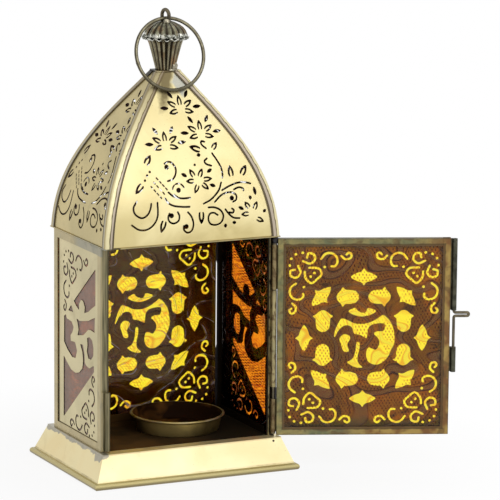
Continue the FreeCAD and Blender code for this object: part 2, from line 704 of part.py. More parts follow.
# Finial: a fluted cup with a ruffled rim, and a fluted cap
neckTop = crownTop + cupNeckRise
rimFoot = neckTop + cupRimRise
rimTop = rimFoot + cupRimHeight
cupLine = [(cupFootRadius, crownTop), (cupNeckRadius, neckTop), (cupRimRadius, rimFoot)]
cupLine.append((cupRimRadius, rimTop))
cupOuter = loft([fluted(r, z) for r, z in cupLine])
innerLine = [(cupFootRadius - cupWall, crownTop + cupWall), (cupNeckRadius - cupWall, neckTop)]
innerLine.append((capFootRadius - 2 * cupWall, rimTop))
cupInner = loft([fluted(r, z) for r, z in innerLine])
parts["finial_cup"] = cupOuter.cut(cupInner)
capTop = rimTop + capRise
capLine = [(capFootRadius, rimTop), (capShoulderRadius, rimTop + capShoulderRise)]
capLine += [(capMidRadius, rimTop + capMidRise), (capTopRadius, capTop)]
cap = loft([fluted(r, z, fluteDepth * r / capFootRadius) for r, z in capLine])
parts["finial_cap"] = cap

# Hanging loop: a wire arch whose feet end on the cap
archTop = capTop + loopHeight - loopWire / 2
archCentre = archTop - loopRadius
legFoot = rimTop + capMidRise
legs = [V(0, s * loopRadius, z) for s, z in ((-1, legFoot), (-1, archCentre), (1, archCentre), (1, legFoot))]
arch = Part.Arc(legs[1], V(0, 0, archTop), legs[2]).toShape()
loop = pipe([Part.makeLine(legs[0], legs[1]), arch, Part.makeLine(legs[2], legs[3])], loopWire / 2)
parts["hanging_loop"] = turned(loop, loopTurn).cut(cap)

# Carrying ring: it lies on the cap under the loop and leans on the front of the roof
pivotZ = capTop + ringWire / 2 + ringSeat
carrying = Part.makeTorus(ringRadius, ringWire / 2, V(0, 0, pivotZ - ringRadius), V(0, 1, 0))
carrying.rotate(V(0, 0, pivotZ), V(1, 0, 0), -ringLean)
parts["carrying_ring"] = carrying

# Dish
lipFoot = dishHeight - dishLip
wallTop = dishRadius - dishLip
profile = [(0, 0), (dishFootRadius, 0), (wallTop, lipFoot), (dishRadius, lipFoot), (dishRadius, dishHeight)]
profile += [(wallTop - dishSheet, dishHeight), (dishFootRadius - dishSheet, dishSheet), (0, dishSheet)]
corners = [V(dishX + r, dishY, footHeight + z) for r, z in profile]
section = Part.Face(Part.makePolygon(corners + corners[:1]))
parts["candle_dish"] = section.revolve(V(dishX, dishY, 0), V(0, 0, 1), 360)

# Hinge: the middle knuckle and its leaf on the post, the pin through all three
knuckle = knuckleDiameter / 2
pinRadius = pinDiameter / 2
hingeBore = pinRadius + pinClearance
lowerFoot = footHeight + lowerKnuckleFoot
middleFoot = footHeight + postKnuckleFoot
upperFoot = middleFoot + postKnuckleLength + knuckleGap
upperTop = upperFoot + upperKnuckleLength


def postKnuckle(x, side, edge, z, length, radius, bore):
    # A leaf on the post's front face, from its outer side to an edge, rolled round a bore in front.
    leafY = -halfDepth
    reach = sorted((side * halfWidth, edge))
    leaf = box(reach[0], reach[1], leafY - leafSheet - radius / 8, leafY, z, z + length)
    whole = leaf.fuse(Part.makeCylinder(radius, length, V(x, hingeY, z)))
    return whole.cut(Part.makeCylinder(bore, length, V(x, hingeY, z))).removeSplitter()


leafEdge = doorRight + leafDoorGap
parts["hinge_knuckle"] = postKnuckle(hingeX, 1, leafEdge, middleFoot, postKnuckleLength, knuckle, hingeBore)
pin = [Part.makeCylinder(pinRadius, upperTop - lowerFoot, V(hingeX, hingeY, lowerFoot))]
pin.append(Part.makeCylinder(pinHeadDiameter / 2, pinHead, V(hingeX, hingeY, upperTop)))
pin.append(Part.makeCylinder(pinHeadDiameter / 2, pinHead, V(hingeX, hingeY, lowerFoot - pinHead)))
parts["hinge_pin"] = joined(pin)

# Keeper tube on the left front post
tubeRadius = tubeDiameter / 2
boltRadius = boltDiameter / 2
boltBore = boltRadius + boltClearance
keeperZ = footHeight + keeperFoot
keeperEdge = boltX + tubeRadius / 2
parts["keeper_tube"] = postKnuckle(boltX, -1, keeperEdge, keeperZ, keeperLength, tubeRadius, boltBore)

# Door, drawn closed: folded strips round a pierced sheet and a pane
door = {}
outerY = (doorOuter, doorOuter + doorSheet)
innerY = (doorInner - doorSheet, doorInner)
railTopZ = doorTop - stileWidth
railFootZ = doorFoot + stileWidth
latchInner = doorLeft + stileWidth
hingeInner = doorRight - stileWidth


def doorStrip(x0, x1, z0, z1, web):
    strips = [box(x0, x1, outerY[0], outerY[1], z0, z1), box(x0, x1, innerY[0], innerY[1], z0, z1)]
    strips.append(box(web[0], web[1], doorOuter, doorInner, web[2], web[3]))
    return joined(strips)


footWeb = (latchInner, doorRight, doorFoot, doorFoot + doorSheet)
topWeb = (latchInner, doorRight, doorTop - doorSheet, doorTop)
hingeWeb = (doorRight - doorSheet, doorRight, railFootZ, railTopZ)
latchWeb = (doorLeft, doorLeft + doorSheet, doorFoot, doorTop)
door["door_rail_bottom"] = doorStrip(latchInner, doorRight, doorFoot, railFootZ, footWeb)
door["door_rail_top"] = doorStrip(latchInner, doorRight, railTopZ, doorTop, topWeb)
door["door_stile_hinge"] = doorStrip(hingeInner, doorRight, railFootZ, railTopZ, hingeWeb)
door["door_stile_latch"] = doorStrip(doorLeft, latchInner, doorFoot, doorTop, latchWeb)
inside = (doorLeft + doorSheet, doorRight - doorSheet)
rise = (doorFoot + doorSheet, doorTop - doorSheet)
sheetY = (outerY[1], outerY[1] + panelSheet)
sheet = box(inside[0], inside[1], sheetY[0], sheetY[1], rise[0], rise[1])
doorMiddle = (doorLeft + doorRight) / 2
tools = ring.tools(doorMiddle, wallFigureZ, doorOuter - cutReach, doorInner, True)
door["door_panel"] = pierced(sheet, tools)
door["door_glass"] = box(inside[0], inside[1], sheetY[1], innerY[0], rise[0], rise[1])


def doorKnuckle(x, z, length, radius, bore, edge):
    # A knuckle whose leaf runs along its outer side to the edge of a stile.
    reach = sorted((x, edge))
    leaf = box(reach[0], reach[1], hingeY - radius, hingeY - radius + leafSheet, z, z + length)
    whole = leaf.fuse(Part.makeCylinder(radius, length, V(x, hingeY, z)))
    return whole.cut(Part.makeCylinder(bore, length, V(x, hingeY, z))).removeSplitter()


lowerTubeZ = footHeight + lowerTubeFoot
upperTubeZ = footHeight + upperTubeFoot
knuckles = {"lower": (lowerFoot, lowerKnuckleLength), "upper": (upperFoot, upperKnuckleLength)}
for name, (foot, length) in knuckles.items():
    door["door_knuckle_" + name] = doorKnuckle(hingeX, foot, length, knuckle, hingeBore, doorRight)
door["latch_tube_lower"] = doorKnuckle(boltX, lowerTubeZ, lowerTubeLength, tubeRadius, boltBore, doorLeft)
door["latch_tube_upper"] = doorKnuckle(boltX, upperTubeZ, upperTubeLength, tubeRadius, boltBore, doorLeft)

# Slide bolt: one wire, bent to a hairpin handle between the two tubes
boltZ = footHeight + boltFoot
highBend = upperTubeZ - boltSeat
highWire = highBend - boltBend
lowWire = highWire - boltPitch
lowBend = lowWire - boltBend
handleX = boltX - boltReach + boltPitch / 2 + boltRadius
turnX = boltX - boltBend
corner = boltBend * (1 - math.sqrt(0.5))
lowCorner = V(boltX - corner, hingeY, lowWire - corner)
highCorner = V(boltX - corner, hingeY, highWire + corner)
handleTip = V(handleX - boltPitch / 2, hingeY, (lowWire + highWire) / 2)
stops = [V(boltX, hingeY, boltZ), V(boltX, hingeY, lowBend), V(turnX, hingeY, lowWire)]
stops += [V(handleX, hingeY, lowWire), V(handleX, hingeY, highWire), V(turnX, hingeY, highWire)]
stops.append(V(boltX, hingeY, highBend))
stops.append(V(boltX, hingeY, highBend + boltUpperLeg))
route = [Part.makeLine(stops[0], stops[1]), Part.Arc(stops[1], lowCorner, stops[2]).toShape()]
route += [Part.makeLine(stops[2], stops[3]), Part.Arc(stops[3], handleTip, stops[4]).toShape()]
route += [Part.makeLine(stops[4], stops[5]), Part.Arc(stops[5], highCorner, stops[6]).toShape()]
route.append(Part.makeLine(stops[6], stops[7]))
door["slide_bolt"] = pipe(route, boltRadius)

for name, shape in door.items():
    parts[name] = turned(shape, doorSwing, V(hingeX, hingeY, 0))

os.makedirs("parts", exist_ok=True)
for name, shape in parts.items():
    shape.exportStep("parts/%s.step" % name)
    print(name, round(shape.Volume), len(shape.Faces), len(shape.Solids), shape.isValid())
print("hinge axis", hingeX, hingeY, "bolt axis", boltX, "ring pivot", pivotZ, "top", archTop + loopWire / 2)
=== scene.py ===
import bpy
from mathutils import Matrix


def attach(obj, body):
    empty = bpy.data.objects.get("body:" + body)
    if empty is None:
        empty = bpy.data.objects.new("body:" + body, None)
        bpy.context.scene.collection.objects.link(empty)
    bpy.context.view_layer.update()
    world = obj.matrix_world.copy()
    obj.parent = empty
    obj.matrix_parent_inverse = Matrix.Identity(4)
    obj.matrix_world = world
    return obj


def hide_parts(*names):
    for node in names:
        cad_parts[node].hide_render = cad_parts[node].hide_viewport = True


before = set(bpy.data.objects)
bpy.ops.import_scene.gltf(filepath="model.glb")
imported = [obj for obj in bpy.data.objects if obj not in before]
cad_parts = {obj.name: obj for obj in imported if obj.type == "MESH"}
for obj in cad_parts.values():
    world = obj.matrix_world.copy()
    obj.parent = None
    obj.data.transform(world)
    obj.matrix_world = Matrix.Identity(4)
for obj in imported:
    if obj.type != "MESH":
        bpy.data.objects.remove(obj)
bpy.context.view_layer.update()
import copy
import math

import bmesh
import bpy
import numpy as np
from mathutils import Matrix, Vector

milli = 0.001


# A method that adds one Math node; a reflected one takes its two values the other way round
def maths(operation, reflected=False):
    def method(self, other=0.0):
        first, second = (other, self) if reflected else (self, other)
        return self.finish.node("ShaderNodeMath", {"operation": operation}, {0: first, 1: second})
    return method


# Shader maths in plain arithmetic: a value wraps one socket, and each operator adds a node.
class Value:
    __add__, __radd__ = maths("ADD"), maths("ADD", True)
    __sub__, __rsub__ = maths("SUBTRACT"), maths("SUBTRACT", True)
    __mul__, __rmul__ = maths("MULTIPLY"), maths("MULTIPLY", True)
    __truediv__, __rtruediv__ = maths("DIVIDE"), maths("DIVIDE", True)
    __pow__, __abs__ = maths("POWER"), maths("ABSOLUTE")
    least, most = maths("MINIMUM"), maths("MAXIMUM")
    fraction, sine, arcTangent = maths("FRACT"), maths("SINE"), maths("ARCTAN2")

    def __init__(self, finish, socket):
        self.finish = finish
        self.socket = socket

    # 0 below low, 1 above high, and a straight ramp between them
    def rise(self, low, high):
        settings = {"clamp": True, "interpolation_type": "LINEAR"}
        return self.finish.node("ShaderNodeMapRange", settings, {0: self, 1: low, 2: high, 3: 0.0, 4: 1.0})


# A finish is a tree of shader nodes and the place that its textures are worked out from.
class Finish:
    def __init__(self, name, tree=None):
        if tree is None:
            self.material = bpy.data.materials.new(name)
            self.material.use_nodes = True
            tree = self.material.node_tree
        tree.nodes.clear()
        self.tree = tree

    # One node: its settings first, then the values or links of its sockets. Gives the outputs asked for, or the
    # first live one.
    def node(self, kind, settings=None, sockets=None, outputs=()):
        made = self.tree.nodes.new(kind)
        for key, value in (settings or {}).items():
            setattr(made, key, value)
        for key, value in (sockets or {}).items():
            if isinstance(value, Value):
                self.tree.links.new(value.socket, made.inputs[key])
            else:
                made.inputs[key].default_value = value
        if outputs:
            return [Value(self, made.outputs[name]) for name in outputs]
        live = [socket for socket in made.outputs if socket.enabled]
        return Value(self, live[0]) if live else None

    def full(self, colour):
        return colour if isinstance(colour, Value) else (*colour, 1.0)

    def blend(self, factor, first, second):
        sockets = {0: factor, 6: self.full(first), 7: self.full(second)}
        return self.node("ShaderNodeMix", {"data_type": "RGBA"}, sockets)

    # Object coordinates in millimetres, turned about Z so that a wall's own width lies along X. Gives x, y and z.
    def place(self, turn=0.0, centre=(0.0, 0.0, 0.0)):
        [raw] = self.node("ShaderNodeTexCoord", None, None, ["Object"])
        angle = math.radians(turn)
        cos, sin = math.cos(angle), math.sin(angle)
        x, y, z = centre
        self.vector = self.node("ShaderNodeMapping", {"vector_type": "POINT"}, {
            "Vector": raw, "Location": (-(x * cos - y * sin), -(x * sin + y * cos), -z),
            "Rotation": (0, 0, angle), "Scale": (1 / milli, 1 / milli, 1 / milli)})
        return self.node("ShaderNodeSeparateXYZ", None, {0: self.vector}, ["X", "Y", "Z"])

    # The same finish with its place stretched, for textures that run one way
    def stretched(self, scale):
        other = copy.copy(self)
        sockets = {"Vector": self.vector, "Scale": scale}
        other.vector = self.node("ShaderNodeMapping", {"vector_type": "POINT"}, sockets)
        return other

    def noise(self, scale, detail=2.0, distortion=0.0):
        sockets = {"Vector": self.vector, "Scale": scale, "Detail": detail, "Distortion": distortion,
                   "Roughness": 0.5}
        return self.node("ShaderNodeTexNoise", {"noise_dimensions": "3D"}, sockets)

    # A shader with a matt colour laid over it by a factor
    def matted(self, shader, factor, colour):
        film = self.node("ShaderNodeBsdfDiffuse", None, {"Color": self.full(colour)})
        return self.node("ShaderNodeMixShader", None, {0: factor, 1: shader, 2: film})

    # 1 for what is looked at, straight or in a gloss or through glass, and 0 for what only gives light
    def seen(self):
        rays = ["Is Camera Ray", "Is Glossy Ray", "Is Transmission Ray"]
        camera, glossy, through = self.node("ShaderNodeLightPath", None, None, rays)
        return camera.most(glossy).most(through)

    def close(self, shader):
        self.node("ShaderNodeOutputMaterial", None, {"Surface": shader})
        return self.material


# Brass: two tones clouded together, a dull film in patches, fine scratches and a few dark specks.
# Stains are functions of the piece's own x, y and z in millimetres that give a factor and a colour laid over it.
def brass(name, look, stains=(), turn=0.0, centre=(0.0, 0.0, 0.0)):
    at = Finish(name)
    x, y, z = at.place(turn, centre)
    cloud = at.noise(look["cloud"], 3.0, 0.4).rise(0.34, 0.66)
    film = at.noise(look["film"], 4.0, 0.8).rise(look["filmFrom"], look["filmFrom"] + 0.2)
    speck = at.noise(1.1).rise(0.70, 0.78)
    grain = at.stretched((0.35, 0.35, 3.2)).noise(1.6, 3.0)
    tone = at.blend(cloud, look["light"], look["deep"])
    tone = at.blend(film * look["filmAmount"], tone, look["dull"])
    tone = at.blend(speck * look["specks"], tone, look["dark"])
    cover = None
    for stain in stains:
        factor, colour = stain(at, x, y, z)
        tone = at.blend(factor, tone, colour)
        if stain in matt:
            cover = factor
    rough = look["rough"] + film * 0.10 + (grain - 0.5) * 0.12
    height = grain * 0.6 + cloud * 0.8
    bump = at.node("ShaderNodeBump", None, {"Strength": look["bump"], "Distance": 0.0002, "Height": height})
    shader = at.node("ShaderNodeBsdfPrincipled", None, {
        "Base Color": tone, "Roughness": rough, "Metallic": look["metal"], "Normal": bump})
    if cover:
        shader = at.matted(shader, cover, tone)
    return at.close(shader)


# Soot and painted shade over whatever lies inside the body, with a painted amber glow towards its left
chamber = {"halfWidth": 48.6, "halfDepth": 30.6, "top": 122.3}


def sootAndShade(at, x, y, z):
    sides = (chamber["halfWidth"] - abs(x)).rise(0.0, 0.1) * (chamber["halfDepth"] - abs(y)).rise(0.0, 0.1)
    inside = sides * (chamber["top"] - z).rise(0.0, 0.1)
    glow = (at.noise(0.045).rise(0.36, 0.58) * 0.7 + 0.3) * (20.0 - x).rise(0.0, 50.0)
    return inside * 0.985, at.blend(glow, (0.006, 0.003, 0.002), (0.105, 0.050, 0.012))


# Smears of solder on the left of the deck, close round the body's foot, and a drip at its front corner
def smears(at, x, y, z):
    ragged = at.noise(0.14, 3.0, 0.5) * 4.6
    drip = (-27.0 - y).rise(0.0, 2.5) * (37.0 + y).rise(0.0, 1.5) * 2.4
    low = (z - 16.9 + ragged + drip).rise(0.0, 0.5)
    tone = at.blend(at.noise(0.3), (0.40, 0.38, 0.33), (0.20, 0.19, 0.16))
    return (-46.8 - x).rise(0.0, 0.5) * low * 0.85, tone


# The skirt's left side stands away from the light and is duller than its front
def skirtSide(at, x, y, z):
    return (y - x - 13.0).rise(-0.15, 0.15) * 0.30, (0.46, 0.37, 0.17)


# A dark line along a side panel's rear and bottom edges, where it sits back behind the frame: patina in the recess
# and painted shade
def panelEdge(at, x, y, z):
    return (y - 24.7).rise(0.0, 0.3).most((20.95 - z).rise(0.0, 0.3)) * 0.9, (0.05, 0.035, 0.02)


# The left front post: streaked and dark in front, with a thin dark line down its inner edge
def postStreaks(at, x, y, z):
    streak = at.stretched((1.0, 1.0, 0.06)).noise(0.9)
    front = (-30.3 - y).rise(0.0, 0.2) * (-40.0 - x).rise(0.0, 1.0)
    tone = at.blend(streak.rise(0.40, 0.60), (0.085, 0.080, 0.045), (0.24, 0.21, 0.12))
    return front * 0.85, at.blend((x + 45.6).rise(0.0, 0.25), tone, (0.03, 0.022, 0.012))


def railSolder(at, x, y, z):
    ragged = at.noise(0.10, 3.0, 0.5) * 16.0
    side = (-48.0 - x).rise(0.0, 0.2)
    band = side * (z - 117.6).rise(0.0, 0.4) * (4.0 - y + ragged - 8.0).rise(0.0, 6.0)
    spots = at.noise(0.18, 2.0, 0.3).rise(0.60, 0.68)
    tone = at.blend((band + spots * 0.4).least(1.0), (0.60, 0.50, 0.29), (0.33, 0.33, 0.28))
    return (side * 0.45).most(band * 0.6), tone


# The rolled bead round the foot is dull, with a broken dark line where it meets the skirt, and darker low down:
# painted shade where it curls under
def beadLine(at, x, y, z):
    ragged = at.noise(0.22, 4.0, 0.6)
    worn = at.noise(0.035, 1.0).rise(0.40, 0.56) * 0.6 + 0.25
    seam = (1 - (abs(z - 3.75) - 0.05).rise(0.0, 0.55)) * ragged.rise(0.20, 0.66) * worn
    dull = (3.6 - z).rise(0.0, 0.3) * 0.85
    bead = at.blend((1.7 - z).rise(0.0, 0.7), (0.44, 0.37, 0.15), (0.16, 0.12, 0.05))
    return dull.most(seam * 0.8), at.blend(seam, bead, (0.13, 0.07, 0.03))


# A small dark hole near the right end of the foot's front, a little wider than high: not modelled, painted shade
# stands in for it
holePlace = (45.5, 14.9)


def footHole(at, x, y, z):
    across, up = x - holePlace[0], z - holePlace[1]
    away = (across * across + up * up * 1.4) ** 0.5
    return (0.75 - away).rise(0.0, 0.25) * (-30.0 - y).rise(0.0, 0.1), (0.03, 0.02, 0.01)


# Painted shade darkens the sheet a little towards a roof panel's foot and at its lower left; the sheet also darkens
# in a patch below its top
def roofShade(at, x, y, z):
    ragged = at.noise(0.05, 3.0, 0.6) * 26.0
    low = (134.0 - z + ragged - 13.0).rise(0.0, 12.0) * 0.5
    side = (-18.0 - x + ragged - 13.0).rise(0.0, 14.0) * (150.0 - z).rise(0.0, 14.0) * 0.5
    return low.most(side), (0.50, 0.39, 0.14)


def roofPatch(at, x, y, z):
    lean = x + 2.4 + (204.0 - z) * 0.36
    away = (lean * lean + (z - 202.0) * (z - 202.0) * 0.06) ** 0.5
    ragged = at.noise(0.25) * 3.0
    return (4.4 - away - ragged + 1.5).rise(0.0, 2.2) * 0.9, (0.16, 0.12, 0.05)


# Painted reflection: a grey-white gleam below the roof's top, right of the middle
def roofGleam(at, x, y, z):
    away = (abs(x - 4.6) * 1.3 + abs(z - 201.0) * 0.8)
    ragged = at.noise(0.2) * 3.0
    return (8.5 - away - ragged).rise(0.0, 2.5) * 0.85, (0.50, 0.51, 0.47)


widthToDepth = 1.3464  # of the roof


# Bands along a hip, from the edge of its front leg over the fold to the edge of its side leg. Off is how far a point
# lies past the fold, below zero on the leg that faces front or back; wander makes the bands waver. The pale band up
# to the fold is a painted highlight, and the dark lines at the two free edges are painted shadow.
def hipBands(at, x, y, z):
    wander = (at.stretched((1.0, 1.0, 0.3)).noise(0.4) - 0.5) * 1.6
    off = abs(x) - abs(y) * widthToDepth
    inner = off + wander - x.rise(-1.0, 1.0) * 0.6
    tone = at.blend(off.rise(-3.85, -3.6), (0.07, 0.05, 0.03), (0.54, 0.46, 0.37))
    tone = at.blend(inner.rise(-2.95, -2.8), tone, (0.13, 0.10, 0.04))
    tone = at.blend(inner.rise(-2.45, -2.2), tone, (0.88, 0.79, 0.47))
    tone = at.blend((off + wander).rise(0.4, 0.8), tone, (0.50, 0.40, 0.18))
    tone = at.blend((off + wander).rise(2.5, 2.8), tone, (0.46, 0.42, 0.30))
    tone = at.blend((off + wander * 0.5).rise(4.6, 4.9), tone, (0.05, 0.035, 0.02))
    return 0.85, tone


def hipTop(at, x, y, z):
    return (z - 172.0).rise(0.0, 26.0) * (0.0 - x).rise(-2.0, 2.0) * 0.6, (0.20, 0.145, 0.06)


# The hip at the rear left is near black at its top
def darkHipTop(at, x, y, z):
    ragged = at.noise(0.4) * 2.0
    share = (-3.0 - x).rise(0.0, 0.4) * (y + 3.0 - ragged).rise(0.0, 1.0) * (z - 202.4).rise(0.0, 1.4)
    return share * 0.95, (0.008, 0.007, 0.005)


# The door's strips turn from green at the hinge to russet at the bolt and the foot
def russet(at, x, y, z):
    ragged = at.noise(0.07) * 30.0
    patch = at.noise(0.12).rise(0.44, 0.60)
    tone = at.blend(patch, (0.20, 0.095, 0.030), (0.40, 0.27, 0.075))
    return (-58.0 - x + ragged - (z - 60.0) * 0.35).rise(0.0, 26.0), tone


# The door's four edges from its hinge line and from the ground, and how far a point lies in from the nearest
doorEdge = {"bolt": -91.2, "hinge": -1.6, "top": 120.8, "foot": 17.0}


def doorDepth(x, z):
    return (x - doorEdge["bolt"]).least(doorEdge["hinge"] - x).least(doorEdge["top"] - z).least(z - doorEdge["foot"])


# Dark lines along the strips' inner and outer lips; those along the inner lips are painted shadow
def lipLines(at, x, y, z):
    ragged = at.noise(0.35) * 0.9
    depth = doorDepth(x, z)
    inner = (depth - 2.6 + ragged - 0.45).rise(0.0, 0.5)
    outer = (0.55 - depth + ragged - 0.45).rise(0.0, 0.4)
    tone = at.blend((depth - 2.5).rise(0.1, 1.1), (0.045, 0.036, 0.016), (0.115, 0.062, 0.022))
    return inner * 0.88 + outer * 0.6, tone


def brownPatches(at, x, y, z):
    patch = at.stretched((0.6, 1.0, 1.0)).noise(0.19, 3.0, 0.5).rise(0.55, 0.62)
    return patch * 0.6, (0.12, 0.065, 0.025)


# Painted shade: the door's inner sheet is greenish black close to its frame, most of all along the foot
def doorEdgeShade(at, x, y, z):
    ragged = at.noise(0.16, 3.0, 0.5) * 5.0
    edge = (6.4 - doorDepth(x, z) + ragged - 2.5).rise(0.0, 3.0) * 0.75
    foot = (25.6 - z + ragged * 1.4 - 3.4).rise(0.0, 3.5) * 0.9
    return edge.most(foot), (0.055, 0.052, 0.020)


# Painted shade: the back wall's inner sheet darkens towards its left and right ends
def backEdge(at, x, y, z):
    ragged = at.noise(0.1) * 8.0
    return ((abs(x + 300.0) * 0.9 + ragged - 34.0).rise(0.0, 10.0)) * 0.85, (0.022, 0.009, 0.009)


def doorDepths(at, x, y, z):
    return at.noise(0.045, 2.0, 0.8).rise(0.46, 0.60) * 0.75, (0.11, 0.036, 0.020)


# Painted shade: the right front post is black but for a thin line near its edge
def postShade(at, x, y, z):
    line = 1 - (abs(x - 45.7) - 0.25).rise(0.0, 0.2)
    return 1 - line * at.noise(0.3).rise(0.3, 0.5) * 0.8, (0.016, 0.010, 0.005)


# The dish's wall is bright left of its middle as it faces the door opening, and dark at both ends
dishMiddle = (8.3, 1.5)
dishRadius = 22.0  # half way up its wall


def dishSheen(at, x, y, z):
    facing = ((x - dishMiddle[0]) * -0.56 + (y - dishMiddle[1]) * -0.83) / dishRadius
    ragged = at.noise(0.12, 3.0, 0.5) * 0.25
    return (facing + ragged).rise(0.80, 1.16) * 0.85, (0.58, 0.45, 0.17)


# Soot and painted shade inside the dish below its rim, warm in patches
def dishSootAndShade(at, x, y, z):
    warm = at.noise(0.08, 2.0, 0.5).rise(0.45, 0.62)
    return (26.0 - z).rise(0.3, 0.6) * 0.93, at.blend(warm, (0.016, 0.006, 0.002), (0.11, 0.045, 0.010))


# Painted highlights in patches along the top of the dish's rim
def dishRim(at, x, y, z):
    return (z - 24.6).rise(0.0, 0.4) * at.noise(0.12).rise(0.42, 0.58) * 0.7, (0.42, 0.36, 0.22)


# Rust marks down the hinge's knuckles
def rust(at, x, y, z):
    spots = at.stretched((1.0, 1.0, 0.5)).noise(0.5, 3.0, 0.4)
    return spots.rise(0.50, 0.60) * 0.75, (0.10, 0.055, 0.024)


# Flutes: dark in their valleys and red in places. The sine, a quarter turn on, is at its lowest in a valley.
fluteCount = 18
quarterTurn = 1.5708


def valleys(at, x, y, z):
    deep = 0.5 - (y.arcTangent(x) * fluteCount + quarterTurn).sine() * 0.5
    return deep.rise(0.42, 0.86) * 0.9, (0.022, 0.014, 0.008)


def redFlutes(at, x, y, z):
    patch = at.stretched((1.0, 1.0, 0.12)).noise(0.30, 1.0).rise(0.52, 0.60)
    return patch * 0.7, (0.26, 0.13, 0.045)


# Painted reflection: a silver-white band round the finial's rim, broken by dark gaps
def rimReflection(at, x, y, z):
    ragged = at.noise(0.7, 3.0, 0.4)
    band = (z - 221.9).rise(0.0, 0.7) * (225.6 - z + ragged * 2.4).rise(0.6, 1.6)
    tone = at.blend(ragged.rise(0.44, 0.56), (0.10, 0.11, 0.09), (0.74, 0.74, 0.66))
    return band * 0.88, tone


def capShade(at, x, y, z):
    rib = at.stretched((1.0, 1.0, 0.3)).noise(0.5, 1.0).rise(0.45, 0.60)
    return (z - 225.0).rise(0.0, 1.2) * 0.5, at.blend(rib, (0.060, 0.066, 0.045), (0.26, 0.28, 0.20))


# Painted shade: the ring's wire is bright along its front and dark round its outer and inner sides, and darker low
# down near the roof
ringMiddle = (0.0, -5.8, 215.3)
ringReach = 18.6


def ringShadeBands(at, x, y, z):
    forwards, up = y - ringMiddle[1], z - ringMiddle[2]
    reach = (x * x + forwards * forwards + up * up) ** 0.5
    ragged = at.noise(0.5) * 0.3
    low = (206.0 - z).rise(0.0, 8.0) * 0.72
    return ((abs(reach - ringReach) + ragged - 0.15).rise(0.32, 0.72) * 0.9).most(low), (0.060, 0.050, 0.026)


# The relief cast in the panes: smooth winding ridges with a fine line along each edge, and rows of dots between.
# Middle is the centre the ridges wind round; rows are how fast the dots follow one another along and up the pane.
# The relief is the same all through a pane's depth, so its place is flattened first.
flattened = (1.0, 0.0, 1.0)
castLook = {"middle": (-46.4, 68.0), "rows": (3.5, 2.05), "dotSize": (0.34, 0.62)}
backCast = dict(castLook, middle=(-300.0, 68.0))
sideCast = dict(castLook, middle=(2.0, 28.9), rows=(0.9, 4.2), dotSize=(-0.10, 0.20))


def castPattern(at, x, z, look):
    stream = at.stretched((0.8, 1.0, 1.0)).noise(0.034, 1.0, 0.35)
    middleX, middleZ = look["middle"]
    across, up = x - middleX, z - middleZ
    reach = (across * across + up * up) ** 0.5
    band = (stream * 6.5 + reach * 0.09).fraction()
    away = abs(band - 0.5) * 2.0
    part = {"band": band, "ridge": 1 - away.rise(0.20, 0.30)}
    strong = at.noise(0.06, 1.0).rise(0.34, 0.50)
    part["line"] = (1 - abs(away - 0.30).rise(0.04, 0.12)) * (0.4 + strong * 0.6)
    part["thread"] = (1 - abs(away - 0.66).rise(0.02, 0.08)) * at.noise(0.09, 1.0).rise(0.46, 0.56)
    rowsAcross, rowsUp = look["rows"]
    rows = (x * rowsAcross + stream * 22.0).sine() * (z * rowsUp + stream * 26.0).sine()
    region = at.noise(0.07, 1.0).rise(0.38, 0.46) * at.noise(0.7, 1.0).rise(0.30, 0.46)
    part["dot"] = rows.rise(*look["dotSize"]) * region * away.rise(0.40, 0.50)
    return part


# Painted shadow of a pane's relief on the brass behind it: purple ridges, dark lines and dark dots
def castShadow(cast):
    def stain(at, x, y, z):
        part = castPattern(at.stretched(flattened), x, z, cast)
        mark = (part["line"] + part["thread"] * 0.8 + part["dot"] * 0.8).least(1.0)
        tone = at.blend(mark, (0.085, 0.036, 0.034), (0.006, 0.002, 0.001))
        return (part["ridge"] * 0.55).most(mark * 0.97), tone
    return stain


doorShadow, backShadow, sideShadow = castShadow(castLook), castShadow(backCast), castShadow(sideCast)

paleLook = {"light": (0.95, 0.83, 0.46), "deep": (0.85, 0.72, 0.36), "dull": (0.58, 0.48, 0.23),
            "dark": (0.20, 0.13, 0.06), "cloud": 0.035, "film": 0.05, "filmFrom": 0.56, "filmAmount": 0.35,
            "specks": 0.35, "rough": 0.36, "bump": 0.08, "metal": 0.75}
footLook = dict(paleLook, light=(0.98, 0.88, 0.54), deep=(0.93, 0.77, 0.42), filmFrom=0.62)
# The left wall's and left roof's looks are darker copies of the pale look: painted shade for sides that face away
# from the light
leftLook = dict(paleLook, light=(0.68, 0.59, 0.34), deep=(0.55, 0.48, 0.27), dull=(0.40, 0.34, 0.20), filmAmount=0.5)
roofLeftLook = dict(paleLook, light=(0.61, 0.50, 0.24), deep=(0.48, 0.40, 0.19), dull=(0.34, 0.31, 0.20), film=0.08)
frameLook = {"light": (0.48, 0.39, 0.19), "deep": (0.32, 0.27, 0.13), "dull": (0.20, 0.18, 0.11),
             "dark": (0.07, 0.04, 0.02), "cloud": 0.10, "film": 0.16, "filmFrom": 0.54, "filmAmount": 0.6,
             "specks": 0.5, "rough": 0.40, "bump": 0.14, "metal": 0.7}
hipLook = dict(frameLook, light=(0.42, 0.35, 0.19), deep=(0.31, 0.26, 0.14), dull=(0.24, 0.21, 0.14))
doorLook = dict(frameLook, light=(0.33, 0.27, 0.10), deep=(0.15, 0.16, 0.08), dull=(0.10, 0.085, 0.035),
                cloud=0.16, film=0.3, metal=0.6)
tubeLook = dict(frameLook, light=(0.10, 0.10, 0.065), deep=(0.035, 0.035, 0.022), dull=(0.06, 0.045, 0.02),
                cloud=0.3)
knuckleLook = dict(frameLook, light=(0.32, 0.25, 0.12), deep=(0.18, 0.13, 0.055), dull=(0.12, 0.09, 0.04), cloud=0.3)
hingeLook = dict(frameLook, light=(0.44, 0.37, 0.18), deep=(0.28, 0.23, 0.11), dull=(0.30, 0.28, 0.16), cloud=0.2)
